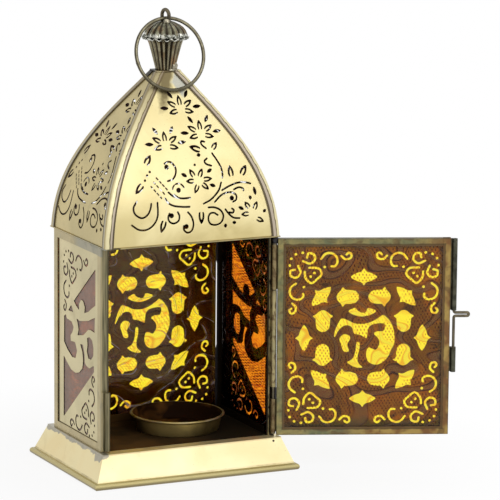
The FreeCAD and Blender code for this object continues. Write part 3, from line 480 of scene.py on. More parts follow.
wireLook = dict(frameLook, light=(0.17, 0.14, 0.085), deep=(0.06, 0.048, 0.03), dull=(0.10, 0.095, 0.06), cloud=0.25)
ringLook = dict(wireLook, light=(0.31, 0.28, 0.18), deep=(0.15, 0.13, 0.08), dull=(0.30, 0.29, 0.22), rough=0.25)
finialLook = dict(frameLook, light=(0.30, 0.27, 0.17), deep=(0.15, 0.125, 0.07), dull=(0.20, 0.21, 0.17), cloud=0.22,
                  rough=0.28, metal=0.85)
innerLook = dict(frameLook, light=(0.38, 0.145, 0.05), deep=(0.20, 0.065, 0.028), dull=(0.13, 0.05, 0.022), metal=0.5,
                 cloud=0.06)
# The back and side walls' inner looks are darker copies of the door's inner look: painted shade inside the dark
# chamber
backInnerLook = dict(innerLook, light=(0.075, 0.028, 0.018), deep=(0.042, 0.015, 0.011), dull=(0.026, 0.011, 0.009))
sideInnerLook = dict(innerLook, light=(0.03, 0.014, 0.006), deep=(0.012, 0.006, 0.003), dull=(0.008, 0.005, 0.003))
dishLook = dict(frameLook, light=(0.20, 0.14, 0.045), deep=(0.09, 0.062, 0.02), dull=(0.045, 0.032, 0.010),
                rough=0.34, cloud=0.06)
dishInnerLook = dict(dishLook, light=(0.05, 0.022, 0.007), deep=(0.02, 0.008, 0.003), dull=(0.07, 0.035, 0.012),
                     metal=0.2, rough=0.6)
solderLook = dict(frameLook, light=(0.44, 0.40, 0.30), deep=(0.25, 0.23, 0.17), dull=(0.24, 0.23, 0.19), cloud=0.4,
                  rough=0.30, metal=0.9)
# Near-black solder; the same finish stands in for the shade in the lower hinge gap
darkSolderAndShadeLook = dict(solderLook, light=(0.022, 0.020, 0.024), deep=(0.008, 0.007, 0.010), dull=(0.03, 0.02, 0.012),
                      rough=0.5, metal=0.3)
matt = (sootAndShade, doorEdgeShade, dishSootAndShade)
doorSwing = 158.2
hingePlace = (47.45, -32.75, 0.0)
paleBrass = brass("paleBrass", paleLook)
roofFrontBrass = brass("roofFrontBrass", paleLook, [roofShade, roofPatch, roofGleam])
roofLeftBrass = brass("roofLeftBrass", roofLeftLook)
leftBrass = brass("leftBrass", leftLook, [panelEdge])
footBrass = brass("footBrass", footLook, [skirtSide, smears, beadLine, footHole])
deckBrass = brass("deckBrass", footLook, [smears, sootAndShade])
frameBrass = brass("frameBrass", frameLook, [sootAndShade, postStreaks, railSolder])
hipBrass = brass("hipBrass", hipLook, [hipBands, hipTop, darkHipTop])
doorBrass = brass("doorBrass", doorLook, [russet, brownPatches, lipLines], -doorSwing, hingePlace)
tubeBrass = brass("tubeBrass", tubeLook)
knuckleBrass = brass("knuckleBrass", knuckleLook, [rust])
hingeBrass = brass("hingeBrass", hingeLook, [rust])
postBrass = brass("postBrass", frameLook, [sootAndShade, postShade])
wireBrass = brass("wireBrass", wireLook)
ringBrass = brass("ringBrass", ringLook, [ringShadeBands])
finialBrass = brass("finialBrass", finialLook, [redFlutes, capShade, valleys, rimReflection])
doorInnerBrass = brass("doorInnerBrass", innerLook, [doorDepths, doorShadow, doorEdgeShade], -doorSwing, hingePlace)
backInnerBrass = brass("backInnerBrass", backInnerLook, [backShadow, backEdge], 0, (300, 0, 0))
sideInnerBrass = brass("sideInnerBrass", sideInnerLook, [sideShadow], 90, (700, 0, 40))
dishBrass = brass("dishBrass", dishLook, [dishSheen, dishRim])
dishInnerBrass = brass("dishInnerBrass", dishInnerLook, [dishSootAndShade])
solderGrey = brass("solderGrey", solderLook)
solderDarkAndShade = brass("solderDarkAndShade", darkSolderAndShadeLook)

# Amber glass: lines and dots of the cast pattern tint it and raise it. The ridge sheen is a painted purple reflection
# on the ridges, the gleam a painted highlight along one side of them, and dust what has settled on the outside.
amberLook = {"amber": (1.0, 0.82, 0.035), "orange": (0.98, 0.60, 0.02), "line": (0.86, 0.42, 0.015),
             "dot": (0.72, 0.30, 0.01), "rough": 0.06, "ior": 1.35, "relief": 0.00008, "gleam": 0.0, "dust": 0.0,
             "ridgeSheen": 0.06, "streaks": 0.6, "cast": castLook, "corner": None}
darkLook = dict(amberLook, orange=(0.99, 0.36, 0.012), line=(0.80, 0.34, 0.015), relief=0.00012, gleam=0.36,
                streaks=0.8, ridgeSheen=0.05, cast=backCast)
orangeLook = dict(amberLook, amber=(0.90, 0.27, 0.010), orange=(0.58, 0.055, 0.006), line=(0.20, 0.018, 0.005),
                  dot=(0.12, 0.012, 0.003), gleam=0.12, ridgeSheen=0.0, streaks=0.85, ior=1.1, cast=sideCast,
                  corner=(0.26, 0.05, 0.008))
dustyLook = dict(orangeLook, dot=(0.45, 0.10, 0.01), line=(0.40, 0.07, 0.01), dust=0.5, gleam=0.0, corner=None)


def amberGlass(name, look, turn=0.0, centre=(0.0, 0.0, 0.0)):
    at = Finish(name)
    x, y, z = at.place(turn, centre)
    at = at.stretched(flattened)
    part = castPattern(at, x, z, look["cast"])
    line = (part["line"] + part["thread"] * 0.6).least(1.0)
    streak = at.stretched((1.0, 1.0, 2.2)).noise(0.11, 2.0, 1.6).rise(0.53, 0.70)
    tint = at.blend(streak * look["streaks"], look["amber"], look["orange"])
    tint = at.blend(part["dot"], tint, look["dot"])
    tint = at.blend(line * 0.9, tint, look["line"])
    # Two opposite corners of the right pane are tinted dark red-brown, with paler patches of painted light in them
    if look["corner"]:
        lit = at.noise(0.55, 1.0).rise(0.58, 0.64)
        corner = abs(x / 26.6 + (z - 29.0) / 49.0).rise(0.85, 1.05)
        tint = at.blend(corner, tint, at.blend(lit, look["corner"], (0.92, 0.62, 0.30)))
    height = part["ridge"] + part["dot"] * 0.4 + streak * 0.15
    bump = at.node("ShaderNodeBump", None, {"Strength": 1.0, "Distance": look["relief"], "Height": height})
    shader = at.node("ShaderNodeBsdfPrincipled", None, {
        "Base Color": tint, "Roughness": look["rough"], "IOR": look["ior"],
        "Transmission Weight": 1.0, "Normal": bump})
    if look["ridgeSheen"]:
        shader = at.matted(shader, part["ridge"] * look["ridgeSheen"], (0.42, 0.23, 0.27))
    if look["gleam"]:
        edge = 1 - abs(part["band"] - 0.355).rise(0.012, 0.035)
        share = edge * at.noise(0.13).rise(0.46, 0.58) * look["gleam"]
        shader = at.matted(shader, share, (0.86, 0.74, 0.74))
    if look["dust"]:
        share = look["dust"] + at.noise(0.2, 3.0).rise(0.2, 0.8) * 0.2
        shader = at.matted(shader, share, (0.50, 0.39, 0.33))
    return at.close(shader)


doorGlass = amberGlass("doorGlass", amberLook, -doorSwing, hingePlace)
backGlass = amberGlass("backGlass", darkLook, 0, (300, 0, 0))
rightGlass = amberGlass("rightGlass", orangeLook, 90, (700, 0, 40))
leftGlass = amberGlass("leftGlass", dustyLook, 90, (500, 0, 40))
print("finishes made")


def linked(name, data):
    made = bpy.data.objects.new(name, data)
    bpy.context.scene.collection.objects.link(made)
    return made


# Mesh from arrays in millimetres. Rows of faces may have any number of corners. A closed surface that
# encloses a negative volume is turned round, so that its faces point outwards.
def makePiece(name, points, faces, materials, body, replaced=(), slots=None, smooth=None):
    points = np.asarray(points, float)
    volume = 0.0
    for rows in faces:
        first = points[rows[:, 0]]
        for corner in range(1, rows.shape[1] - 1):
            cross = np.cross(points[rows[:, corner]], points[rows[:, corner + 1]])
            volume += np.einsum("ij,ij->i", first, cross).sum()
    if volume < 0:
        faces = [rows[:, ::-1] for rows in faces]
    sizes = np.concatenate([np.full(len(rows), rows.shape[1]) for rows in faces])
    corners = np.concatenate([rows.ravel() for rows in faces])
    mesh = bpy.data.meshes.new(name)
    mesh.vertices.add(len(points))
    mesh.vertices.foreach_set("co", (points * milli).astype(np.float32).ravel())
    mesh.loops.add(len(corners))
    mesh.loops.foreach_set("vertex_index", corners.astype(np.int32))
    mesh.polygons.add(len(sizes))
    mesh.polygons.foreach_set("loop_start", np.concatenate([[0], np.cumsum(sizes)[:-1]]).astype(np.int32))
    if slots is not None:
        mesh.polygons.foreach_set("material_index", slots.astype(np.int32))
    if smooth is None:
        smooth = np.ones(len(sizes), bool)
    mesh.polygons.foreach_set("use_smooth", smooth)
    mesh.update(calc_edges=True)
    mesh.validate()
    for material in materials:
        mesh.materials.append(material)
    piece = linked(name, mesh)
    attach(piece, body)
    if replaced:
        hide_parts(*replaced)
    return piece


# Quads of a grid of rows and columns: around joins its last column to its first, and ends its last row
def gridFaces(rows, columns, around=False, ends=False):
    index = np.arange(rows * columns).reshape(rows, columns)
    if around:
        index = np.concatenate([index, index[:, :1]], axis=1)
    if ends:
        index = np.concatenate([index, index[:1]], axis=0)
    return np.stack([index[:-1, :-1], index[1:, :-1], index[1:, 1:], index[:-1, 1:]], -1).reshape(-1, 4)


# A profile of radius and height turned about a line: it starts and ends on the line, so both ends are poles.
# The shape function may swell or lift each point by its angle.
def turnedShape(profile, sides, centre, shape=None):
    profile = np.asarray(profile, float)
    turn = np.linspace(0, 2 * math.pi, sides, endpoint=False)
    ringR = np.repeat(profile[1:-1, :1], sides, 1)
    ringZ = np.repeat(profile[1:-1, 1:2], sides, 1)
    if shape:
        ringR, ringZ = shape(ringR, ringZ, turn[None, :])
    x = centre[0] + ringR * np.cos(turn)
    y = centre[1] + ringR * np.sin(turn)
    rows = len(profile) - 2
    points = np.stack([x, y, ringZ + centre[2]], -1).reshape(-1, 3)
    poles = [(centre[0], centre[1], centre[2] + height) for height in (profile[0, 1], profile[-1, 1])]
    points = np.concatenate([points, poles])
    first = np.arange(sides)
    after = np.roll(first, -1)
    last = (rows - 1) * sides
    count = rows * sides
    lower = np.stack([after, first, np.full(sides, count)], -1)
    upper = np.stack([last + first, last + after, np.full(sides, count + 1)], -1)
    return points, [gridFaces(rows, sides, around=True)[:, ::-1], lower, upper]


# The smooth curve through points: each span is a cubic whose slope at a point is half the step between its
# neighbours.
def smoothLine(points, steps=6, closed=False):
    p = np.asarray(points, float)
    if closed:
        p = np.concatenate([p[-1:], p, p[:2]])
    else:
        p = np.concatenate([2 * p[:1] - p[1:2], p, 2 * p[-1:] - p[-2:-1]])
    t = np.linspace(0, 1, steps, endpoint=False)[None, :, None]
    a, b, c, d = [p[i:len(p) - 3 + i][:, None, :] for i in range(4)]
    spans = 0.5 * (2 * b + (c - a) * t + (2 * a - 5 * b + 4 * c - d) * t ** 2 + (3 * b - a - 3 * c + d) * t ** 3)
    curve = spans.reshape(-1, p.shape[1])
    return curve if closed else np.concatenate([curve, p[-2:-1]])


# Cut-outs in a sheet. Each is a distance to its edge, below zero inside; the sheet stays where the least of them
# is above zero.
class Cuts:
    def __init__(self, x, z):
        self.x = x
        self.z = z
        self.field = np.full(x.shape, 3.0)

    def near(self, points, margin=1.6):
        low = points.min(0) - margin
        high = points.max(0) + margin
        return (self.x > low[0]) & (self.x < high[0]) & (self.z > low[1]) & (self.z < high[1])

    def cut(self, where, distance):
        self.field[where] = np.minimum(self.field[where], distance)

    def edgeDistance(self, x, z, points, closed):
        best = np.full(x.shape, 1e9)
        inside = np.zeros(x.shape, bool)
        ends = np.roll(points, -1, axis=0) if closed else points[1:]
        for (ax, az), (bx, bz) in zip(points, ends):
            dx, dz = bx - ax, bz - az
            span = dx * dx + dz * dz + 1e-12
            t = np.clip(((x - ax) * dx + (z - az) * dz) / span, 0, 1)
            best = np.minimum(best, np.hypot(x - ax - t * dx, z - az - t * dz))
            crosses = (az > z) != (bz > z)
            inside ^= crosses & (x < ax + (z - az) * dx / (dz if abs(dz) > 1e-12 else 1e-12))
        return best, inside

    def outline(self, points):
        points = np.asarray(points, float)
        where = self.near(points)
        if where.any():
            best, inside = self.edgeDistance(self.x[where], self.z[where], points, True)
            self.cut(where, np.where(inside, -best, best))

    def stroke(self, points, width=0.9, round=True):
        line = smoothLine(points) if round and len(points) > 2 else np.asarray(points, float)
        where = self.near(line)
        if where.any():
            best = self.edgeDistance(self.x[where], self.z[where], line, False)[0]
            self.cut(where, best - width / 2)

    def dot(self, x, z, radius=0.7):
        self.stroke([(x, z), (x + 0.01, z)], 2 * radius, False)

    # A petal is a pointed oval; a hollow one is open at its foot round a tongue of sheet.
    def petal(self, x, z, turn, length, width, hollow=False):
        angle = math.radians(turn)
        spin = np.array([(math.cos(angle), math.sin(angle)), (-math.sin(angle), math.cos(angle))])
        t = 0.18
        tips, sides = [(-0.5, 0), (0.5, 0)], [(0, -0.5), (0, 0.5)]
        if hollow:
            tips = [(-0.5, 0.4), (0.5, 0), (-0.5, -0.4), (-0.5, -0.8 * t), (0.16, 0), (-0.5, 0.8 * t)]
            sides = [(0, 0.5), (0, -0.5), (-0.5, -0.4 * (1 + 2 * t) / 2), (-0.12, -t), (-0.12, t),
                     (-0.5, 0.4 * (1 + 2 * t) / 2)]
        size = np.array([length, width])
        self.bent(np.array(tips) * size @ spin + (x, z), np.array(sides) * size @ spin + (x, z))

    # Arcs through waist points between tips
    def bent(self, tips, waists, steps=7):
        tips = np.asarray(tips, float)
        waists = np.asarray(waists, float)
        t = np.linspace(0, 1, steps, endpoint=False)[None, :, None]
        a = tips[:, None]
        b = np.roll(tips, -1, axis=0)[:, None]
        w = 2 * waists[:, None] - (a + b) / 2
        self.outline(((1 - t) ** 2 * a + 2 * t * (1 - t) * w + t ** 2 * b).reshape(-1, 2))


# A star is a pointed lens with a smaller tip on each side; a tulip is a bell with a dome, two tips and a round end.
starShape = {"reach": (7.1, 5.0),
             "tips": [(1, 0), (0.25, 0.53), (0, 1), (-0.25, 0.53), (-1, 0), (-0.25, -0.53), (0, -1), (0.25, -0.53)],
             "sides": [(0.65, 0.34), (0.1, 0.72), (-0.1, 0.72), (-0.65, 0.34), (-0.65, -0.34), (-0.1, -0.72),
                       (0.1, -0.72), (0.65, -0.34)]}
tulipShape = {"reach": (5.5, 5.5),
              "tips": [(0.75, -0.55), (0.75, 0.55), (0.5, 1.02), (0.22, 0.68), (-0.73, 0.58), (-0.73, -0.58),
                       (0.22, -0.68), (0.5, -1.02)],
              "sides": [(1.05, 0), (0.59, 0.76), (0.32, 0.8), (-0.25, 0.67), (-1.08, 0), (-0.25, -0.67),
                        (0.32, -0.8), (0.59, -0.76)]}


def shapeCut(cuts, shape, x, z, turn):
    cos, sin = math.cos(math.radians(turn)), math.sin(math.radians(turn))
    spin = np.array([(cos, sin), (-sin, cos)])
    tips, sides = [np.array(shape[part]) * shape["reach"] @ spin + (x, z) for part in ("tips", "sides")]
    cuts.bent(tips, sides)


# A corner's scrolls: half is drawn, and the other half is its mirror image in the corner's diagonal.
cornerScrolls = {
    "heart": [(-30.7, 35.0), (-30.2, 31.7), (-27.3, 29.0), (-24.2, 31.2), (-21.9, 33.7), (-23.2, 36.5),
              (-26.1, 37.1), (-28.4, 37.1)],
    "scroll": [(-22.3, 41.7), (-20.2, 44.2), (-17.3, 44.8), (-14.6, 43.2), (-13.8, 40.2), (-15.0, 38.0),
               (-16.9, 37.9)],
    "spiral": [(-11.8, 43.4), (-9.8, 41.6), (-7.2, 42.1), (-6.6, 44.0), (-8.0, 45.0), (-9.2, 44.0)],
    "hook": [(-29.6, 42.4), (-28.9, 44.6), (-26.2, 44.2), (-25.5, 41.4), (-28.0, 39.3), (-31.6, 40.6)],
    "dots": [(-31.8, 45.0), (-35.4, 44.2), (-20.4, 37.5)],
    "eyes": [(-27.6, 32.5), (-25.7, 34.3)],
    "mirror": 6.5, "slot": 1.2,
}


def cornerCuts(cuts, move):
    scrolls = cornerScrolls
    cuts.stroke([move(x, z) for x, z in scrolls["heart"]], scrolls["slot"])
    for x, z in scrolls["eyes"]:
        cuts.dot(*move(x, z), 0.75)
    for flipped in (False, True):
        def both(x, z):
            return move(scrolls["mirror"] - z, scrolls["mirror"] - x) if flipped else move(x, z)
        for part in ("scroll", "spiral", "hook"):
            cuts.stroke([both(x, z) for x, z in scrolls[part]], scrolls["slot"])
        for x, z in scrolls["dots"]:
            cuts.dot(*both(x, z), 0.75)


doorArt = {
    "ringX": 30.7, "ringZ": 32.2, "diagonal": 22.0, "nearTulip": (8.3, 21.7), "farTulip": (21.0, 9.0),
    "crescent": [(-7.9, 14.2), (-4.4, 16), (-3.4, 14.8), (-1.9, 13.8), (-0.4, 13.3), (1.4, 13.8), (2.3, 15.8),
                 (6.6, 14.3), (3.9, 12.3), (-0.7, 11.3), (-5.3, 12.3)],
    "wing": [(-15.1, 0), (-14.6, 4.2), (-12.8, 8.3), (-11.1, 10.4), (-7.8, 9.3), (-4.4, 7.7), (0.6, 7.5), (5.6, 9.2),
             (9.3, 11.7), (10.6, 12.1), (14.3, 8.3), (16, 3.3), (16.3, -2.5), (14.8, -6.3), (13.1, -10), (9.8, -13.3),
             (6.4, -14.3), (3.1, -12.9), (1.8, -10), (1.8, -7.1), (3.1, -5), (6.4, -6.3), (8.1, -4.2), (8.5, -1.7),
             (7.3, 0.4), (5.4, 2.3), (7.3, 3.5), (10.6, 3.8), (11, 7.5), (5.6, 7.3), (3.1, 5.8), (2.3, 3.3),
             (1.8, -0.2), (0.6, 0.4), (-1.9, 1.7), (-4.4, 2.1), (-5.3, 3.3), (-6.1, 5.8), (-8.6, 6.7), (-11.1, 5.8),
             (-13.2, 3.3)],
    "bean": [(-10.3, 1.9), (-7.3, 1.3), (-6.8, -0.8), (-8.2, -3.3), (-7.3, -6.7), (-8.6, -7.5), (-10.3, -6.7),
             (-11.5, -3.3), (-12.3, -0.4)],
    "anchor": [(-3.2, -2.1), (-1.9, -2.5), (-1.8, -5.8), (-2.8, -10), (-2.3, -13.3), (-0.1, -15.8), (-4.4, -15.4),
               (-8.2, -12.9), (-6.9, -12.1), (-5.3, -10.8), (-4, -7.5), (-3.6, -3.3)],
}


def doorCuts(x, z):
    cuts = Cuts(x, z)
    art = doorArt
    for s in (-1, 1):
        shapeCut(cuts, starShape, 0, s * art["ringZ"], 0)
        shapeCut(cuts, starShape, s * art["ringX"], 0, 90)
        for t in (-1, 1):
            shapeCut(cuts, starShape, s * art["diagonal"], t * art["diagonal"], -45 * s * t)
            shapeCut(cuts, tulipShape, s * art["nearTulip"][0], t * art["nearTulip"][1], 90 - 90 * s)
            shapeCut(cuts, tulipShape, s * art["farTulip"][0], t * art["farTulip"][1], 90 * t)
            cornerCuts(cuts, lambda a, b: (-s * a, t * b))
    for part in ("crescent", "wing", "bean", "anchor"):
        cuts.outline(smoothLine(art[part], 3, True))
    return cuts.field


sideArt = {
    "upper": [(20.7, 41.2), (20.7, 22.3), (15.7, 19.8), (11.4, 17.3), (6.1, 15.6), (6.8, 18.7), (4.6, 21.6),
              (1.8, 21.8), (-0.7, 19.1), (-0.7, 15.9), (-3.6, 16.9), (-7.9, 19.4)],
    "spur": [(-15.4, 13), (-11.1, 16.6), (-8.6, 13.4)],
    "wave": [(-4.3, 10.9), (0, 10.4), (4.3, 11.1), (11.4, 12.6), (20, 15.9), (19.6, 8), (15, 8.4), (11.4, 8),
             (8.6, 6.2), (5, 3.9), (-1.4, 2.6), (-2.9, 2.3), (-1.4, 5.5), (-2.9, 9.1)],
    "three": [(-20.7, 9.1), (-18.4, 10.4), (-17.1, 8.4), (-10.7, 8), (-8, 5.5), (-9.6, 2.6), (-12.1, 0.5),
              (-11.8, -2.4), (-6.1, -2), (-3.4, -5.9), (-5.4, -10.2), (-10, -10.6), (-16.4, -7.7), (-20.9, -4.5)],
    "lower": [(-21.4, -12), (-17.1, -14.5), (-11.4, -17.4), (-5.7, -18.1), (-0.7, -16.9), (3.6, -13.8), (4.6, -9.5),
              (3.6, -5.2), (0.7, -1.6), (4.3, -1.3), (6.4, -5.9), (6.8, -9.9), (8.6, -11.3), (12.9, -12),
              (18.6, -9.5), (18.9, -12.7), (-21.4, -44.5)],
    "bean": [(10, 3.4), (12.9, 4.4), (16.4, 3.4), (18.2, -0.2), (17.9, -4.5), (15, -7), (11.4, -7), (9.6, -3.8),
             (10.4, -0.2)],
    "upperScrolls": (17.2, -0.7), "lowerScrolls": (1.7, 3.0),
}


def sideCuts(x, z):
    cuts = Cuts(x, z)
    art = sideArt
    for part in ("upper", "spur", "wave", "three", "lower", "bean"):
        cuts.outline(art[part])
    dx, dz = art["upperScrolls"]
    ex, ez = art["lowerScrolls"]
    cornerCuts(cuts, lambda a, b: (a + dx, b + dz))
    cornerCuts(cuts, lambda a, b: (-(a + dx) - ex, -(b + dz) - ez))
    return cuts.field


# Sprays of petals, each petal given as x, z, length and direction. Broad and tongued ones keep a tongue of sheet.
roofArt = {
    "sprays": [(2.0, 188.8), (10.4, 176.5), (-10.2, 172.2)],
    "solid": [(-2.6, 156.6, 3.8, 150), (11.7, 157.9, 3.6, 28), (12.6, 150.6, 3.6, -20), (27.5, 138.2, 3.6, 150),
              (35.8, 146.4, 4.8, 102), (33, 143.2, 2.4, 110), (18.3, 129.9, 2.4, 88), (23.3, 131.2, 2.4, -15),
              (7, 165.8, 2.4, 5), (40.6, 136, 2.2, 45)],
    "tongued": [(1.7, 157.5, 4.4, 120), (6.8, 157.3, 4.6, 62), (0.2, 153.4, 4.6, 178), (10.4, 153.9, 4.8, 3),
                (3.3, 149.2, 4.6, 242), (8.7, 150.2, 4.6, 318), (29.4, 135, 4.4, 182), (30.8, 139.7, 4.2, 125),
                (35.8, 139.2, 4.4, 66), (38.2, 131.4, 4.4, -28), (16.8, 169.9, 4.4, 45)],
    "broad": [(5.3, 169.2, 6.2, 160), (23.4, 157.2, 5.6, 95), (31, 157.2, 5.6, 56), (-21.2, 165.2, 5.6, 52),
              (-28.4, 151.1, 6, 225), (-16.7, 131.6, 6.4, 250), (5, 134.6, 6.4, 268)],
    "stems": [[(14.6, 166.2), (16.4, 163.2), (18.2, 159.6), (18.8, 156), (18.4, 154)],
              [(17.5, 151.7), (15.6, 147.8), (11.2, 143.8), (6.7, 141.8)],
              [(17.6, 147.9), (21.6, 149.6), (26, 150.9), (30, 151.1), (33.8, 150.2)],
              [(-12.3, 148.7), (-9.8, 146.6), (-5.4, 145.3), (-0.5, 145.2)],
              [(-14.4, 145.8), (-12.8, 143.4), (-9.8, 141.8), (-5, 141), (-1.2, 140.8)]],
    "curls": [[(11.4, 172), (9.9, 172.3), (9.3, 171.3), (10.2, 170), (11.7, 168.8)],
              [(11.3, 163.9), (9.7, 162.7), (10.5, 161.2), (13.2, 160.2)],
              [(-12.6, 162.8), (-10.3, 163.6), (-8.2, 162.6), (-6.8, 160), (-7.4, 157), (-9.3, 154.9), (-12, 154.2)],
              [(24.2, 147.8), (27, 148.7), (29.3, 148), (29.6, 147)],
              [(13, 142.3), (16.5, 145.2), (20, 146.5), (23, 146.4), (25.2, 144.9), (25, 142.6), (23.2, 141.7)],
              [(-30.2, 145.2), (-32.2, 142.3), (-31.5, 139), (-28, 136.9), (-24.8, 138.2), (-23, 141),
               (-22.3, 143.7)],
              [(-33.7, 133.7), (-30, 131.2), (-26, 130.8), (-22, 132.8), (-19.3, 137), (-18.8, 144)],
              [(-12.6, 138.2), (-13.5, 136), (-12.6, 133.9), (-10.3, 133), (-7.8, 134.2), (-7.2, 136.6), (-8, 138.6)],
              [(-2.4, 138.2), (-0.4, 135.6), (0.4, 132), (-0.6, 128.8), (-3, 127.8), (-5, 129.4), (-5, 131.4)],
              [(9.2, 139.8), (12.5, 139.6), (15.8, 138), (17.3, 135), (16, 131.9), (13, 130.7), (10, 131.4),
               (8.8, 134), (9.8, 136.5), (12, 136.9), (14.2, 135.6)],
              [(18.6, 138.2), (20.6, 135.6), (23, 133.7), (26.4, 133.2)],
              [(20.8, 136.6), (22.8, 136.2), (23.3, 137.5), (22.3, 138.4)]],
    "points": [(-24.5, 155.3), (-23, 157.6), (-21.3, 159.3), (4, 161.2)],
    "heads": [(-11.7, 161), (-11.5, 137), (-3.6, 131), (22.6, 143.6), (-6.6, 149.4)],
    "eye": (-6.6, 149.4, 3.3), "slot": 0.95, "petal": 2.5, "leaf": 1.8, "broadPetal": 3.1, "hatch": 0.7,
}


def roofCuts(x, z):
    cuts = Cuts(x, z)
    art = roofArt
    for sx, sz in art["sprays"]:
        cuts.petal(sx, sz + 3.8, 90, 4.8, art["petal"], True)
        for s in (-1, 1):
            cuts.petal(sx + 9 * s, sz + 0.2, 90 - 86 * s, 5.0, art["leaf"])
            cuts.petal(sx + 4.5 * s, sz + 6.4, 90 - 35 * s, 4.4, art["leaf"])
            cuts.petal(sx + 4.8 * s, sz + 2.2, 90 - 60 * s, 5.0, art["petal"], True)
            cuts.petal(sx + 4.6 * s, sz - 1.9, 90 - 102 * s, 5.0, art["petal"], True)
    for px, pz, length, turn in art["solid"]:
        cuts.petal(px, pz, turn, length, art["leaf"])
    for px, pz, length, turn in art["tongued"]:
        cuts.petal(px, pz, turn, length, art["petal"], True)
    for px, pz, length, turn in art["broad"]:
        cuts.petal(px, pz, turn, length, art["broadPetal"], True)
    for line in art["stems"] + art["curls"]:
        cuts.stroke(line, art["slot"])
    for dx, dz in art["points"]:
        cuts.dot(dx, dz, 0.65)
    for dx, dz in art["heads"]:
        cuts.dot(dx, dz, 1.25)
    ex, ez, reach = art["eye"]
    for start in (20, 75, 130, 215):
        turn = np.radians(np.linspace(start, start + 38, 5))
        cuts.stroke(np.stack([ex + reach * np.cos(turn), ez + reach * np.sin(turn)], -1), 0.8)
    for row in range(3):
        for column in range(4):
            hx = -21.6 + 1.75 * row + 1.5 * column
            hz = 152.2 + 2.0 * row - 1.75 * column
            cuts.stroke([(hx, hz), (hx + 0.8, hz - 1.0)], art["hatch"], False)
    return cuts.field


# A pierced sheet on a grid of nodes: triangles of the grid are clipped where the field changes sign, then the outer
# and inner sides are joined by a wall along every free edge.
def piercedSheet(shape, field, outer, inner):
    rows, columns = shape
    field = field.ravel()
    outer = outer.reshape(-1, 3)
    inner = inner.reshape(-1, 3)
    index = np.arange(rows * columns).reshape(shape)
    a, b, c, d = index[:-1, :-1].ravel(), index[1:, :-1].ravel(), index[1:, 1:].ravel(), index[:-1, 1:].ravel()
    triangles = np.concatenate([np.stack([a, b, c], -1), np.stack([a, c, d], -1)])
    kept = field > 0
    count = kept[triangles].sum(1)
    one = triangles[count == 1]
    two = triangles[count == 2]
    order = np.arange(3)[None, :]
    one = np.take_along_axis(one, (np.argmax(kept[one], 1)[:, None] + order) % 3, 1)
    two = np.take_along_axis(two, (np.argmin(kept[two], 1)[:, None] + order) % 3, 1)
    edges = np.concatenate([one[:, [0, 1]], one[:, [0, 2]], two[:, [0, 1]], two[:, [0, 2]]])
    edges.sort(axis=1)
    edges, place = np.unique(edges, axis=0, return_inverse=True)
    place = place.ravel() + rows * columns
    n, m = len(one), len(two)
    oneB, oneC, twoB, twoC = place[:n], place[n:2 * n], place[2 * n:2 * n + m], place[2 * n + m:]
    faces = np.concatenate([
        triangles[count == 3],
        np.stack([one[:, 0], oneB, oneC], -1),
        np.stack([twoB, two[:, 1], two[:, 2]], -1),
        np.stack([twoB, two[:, 2], twoC], -1)])
    share = np.clip(field[edges[:, 0]] / (field[edges[:, 0]] - field[edges[:, 1]]), 0.04, 0.96)[:, None]
    outer = np.concatenate([outer, outer[edges[:, 0]] * (1 - share) + outer[edges[:, 1]] * share])
    inner = np.concatenate([inner, inner[edges[:, 0]] * (1 - share) + inner[edges[:, 1]] * share])
    used, faces = np.unique(faces, return_inverse=True)
    faces = faces.reshape(-1, 3)
    outer, inner = outer[used], inner[used]
    total = len(used)
    starts = faces.ravel()
    finishes = faces[:, [1, 2, 0]].ravel()
    free = ~np.isin(starts * total + finishes, finishes * total + starts)
    p, q = starts[free], finishes[free]
    walls = np.stack([q, p, p + total, q + total], -1)
    points = np.concatenate([outer, inner])
    return points, [faces, faces[:, ::-1] + total, walls]


def makeSheet(node, shape, field, outer, inner, body, curved, outside, inside):
    points, faces = piercedSheet(shape, field, outer, inner)
    counts = [len(rows) for rows in faces]
    slots = np.repeat([0, 1, 1], counts)
    smooth = np.repeat([curved, curved, False], counts).astype(bool)
    makePiece(node + "_sheet", points, faces, [outside, inside], body, [node], slots, smooth)


sheetStep = 0.5


def flatGrid(x0, x1, z0, z1):
    x = np.linspace(x0, x1, int(round((x1 - x0) / sheetStep)) + 1)
    z = np.linspace(z0, z1, int(round((z1 - z0) / sheetStep)) + 1)
    return np.meshgrid(x, z, indexing="ij")


def swung(points):
    angle = math.radians(doorSwing)
    cos, sin = math.cos(angle), math.sin(angle)
    points = np.asarray(points, float)
    x = points[..., 0] - hingePlace[0]
    y = points[..., 1] - hingePlace[1]
    return np.stack([hingePlace[0] + x * cos - y * sin, hingePlace[1] + x * sin + y * cos, points[..., 2]], -1)


glassGap = 0.06
walls = {"foot": 17.1, "top": 121.4, "figureZ": 68.0, "sideFigureZ": 68.9, "sideShift": 2.0,
         "backLeft": -47.8, "backRight": 43.3, "backDepths": (30.4, 29.9 + glassGap),
         "sideFront": -29.0, "sideRear": 25.7, "sideDepths": (48.4, 47.9 + glassGap)}
doorSheet = {"left": -43.25, "right": 45.35, "foot": 17.5, "top": 120.3, "depths": (-34.15, -33.65 - glassGap),
             "middle": 1.05}


# A flat sheet: shape turns what lies along, the depth of its outer or inner face and the height into points.
def wallSheet(node, grid, cuts, depths, shape, body, outside, inside):
    u, z = flatGrid(*grid)
    outer, inner = [shape(u, np.full(u.shape, depth), z) for depth in depths]
    makeSheet(node, u.shape, cuts(u, z), outer, inner, body, False, outside, inside)


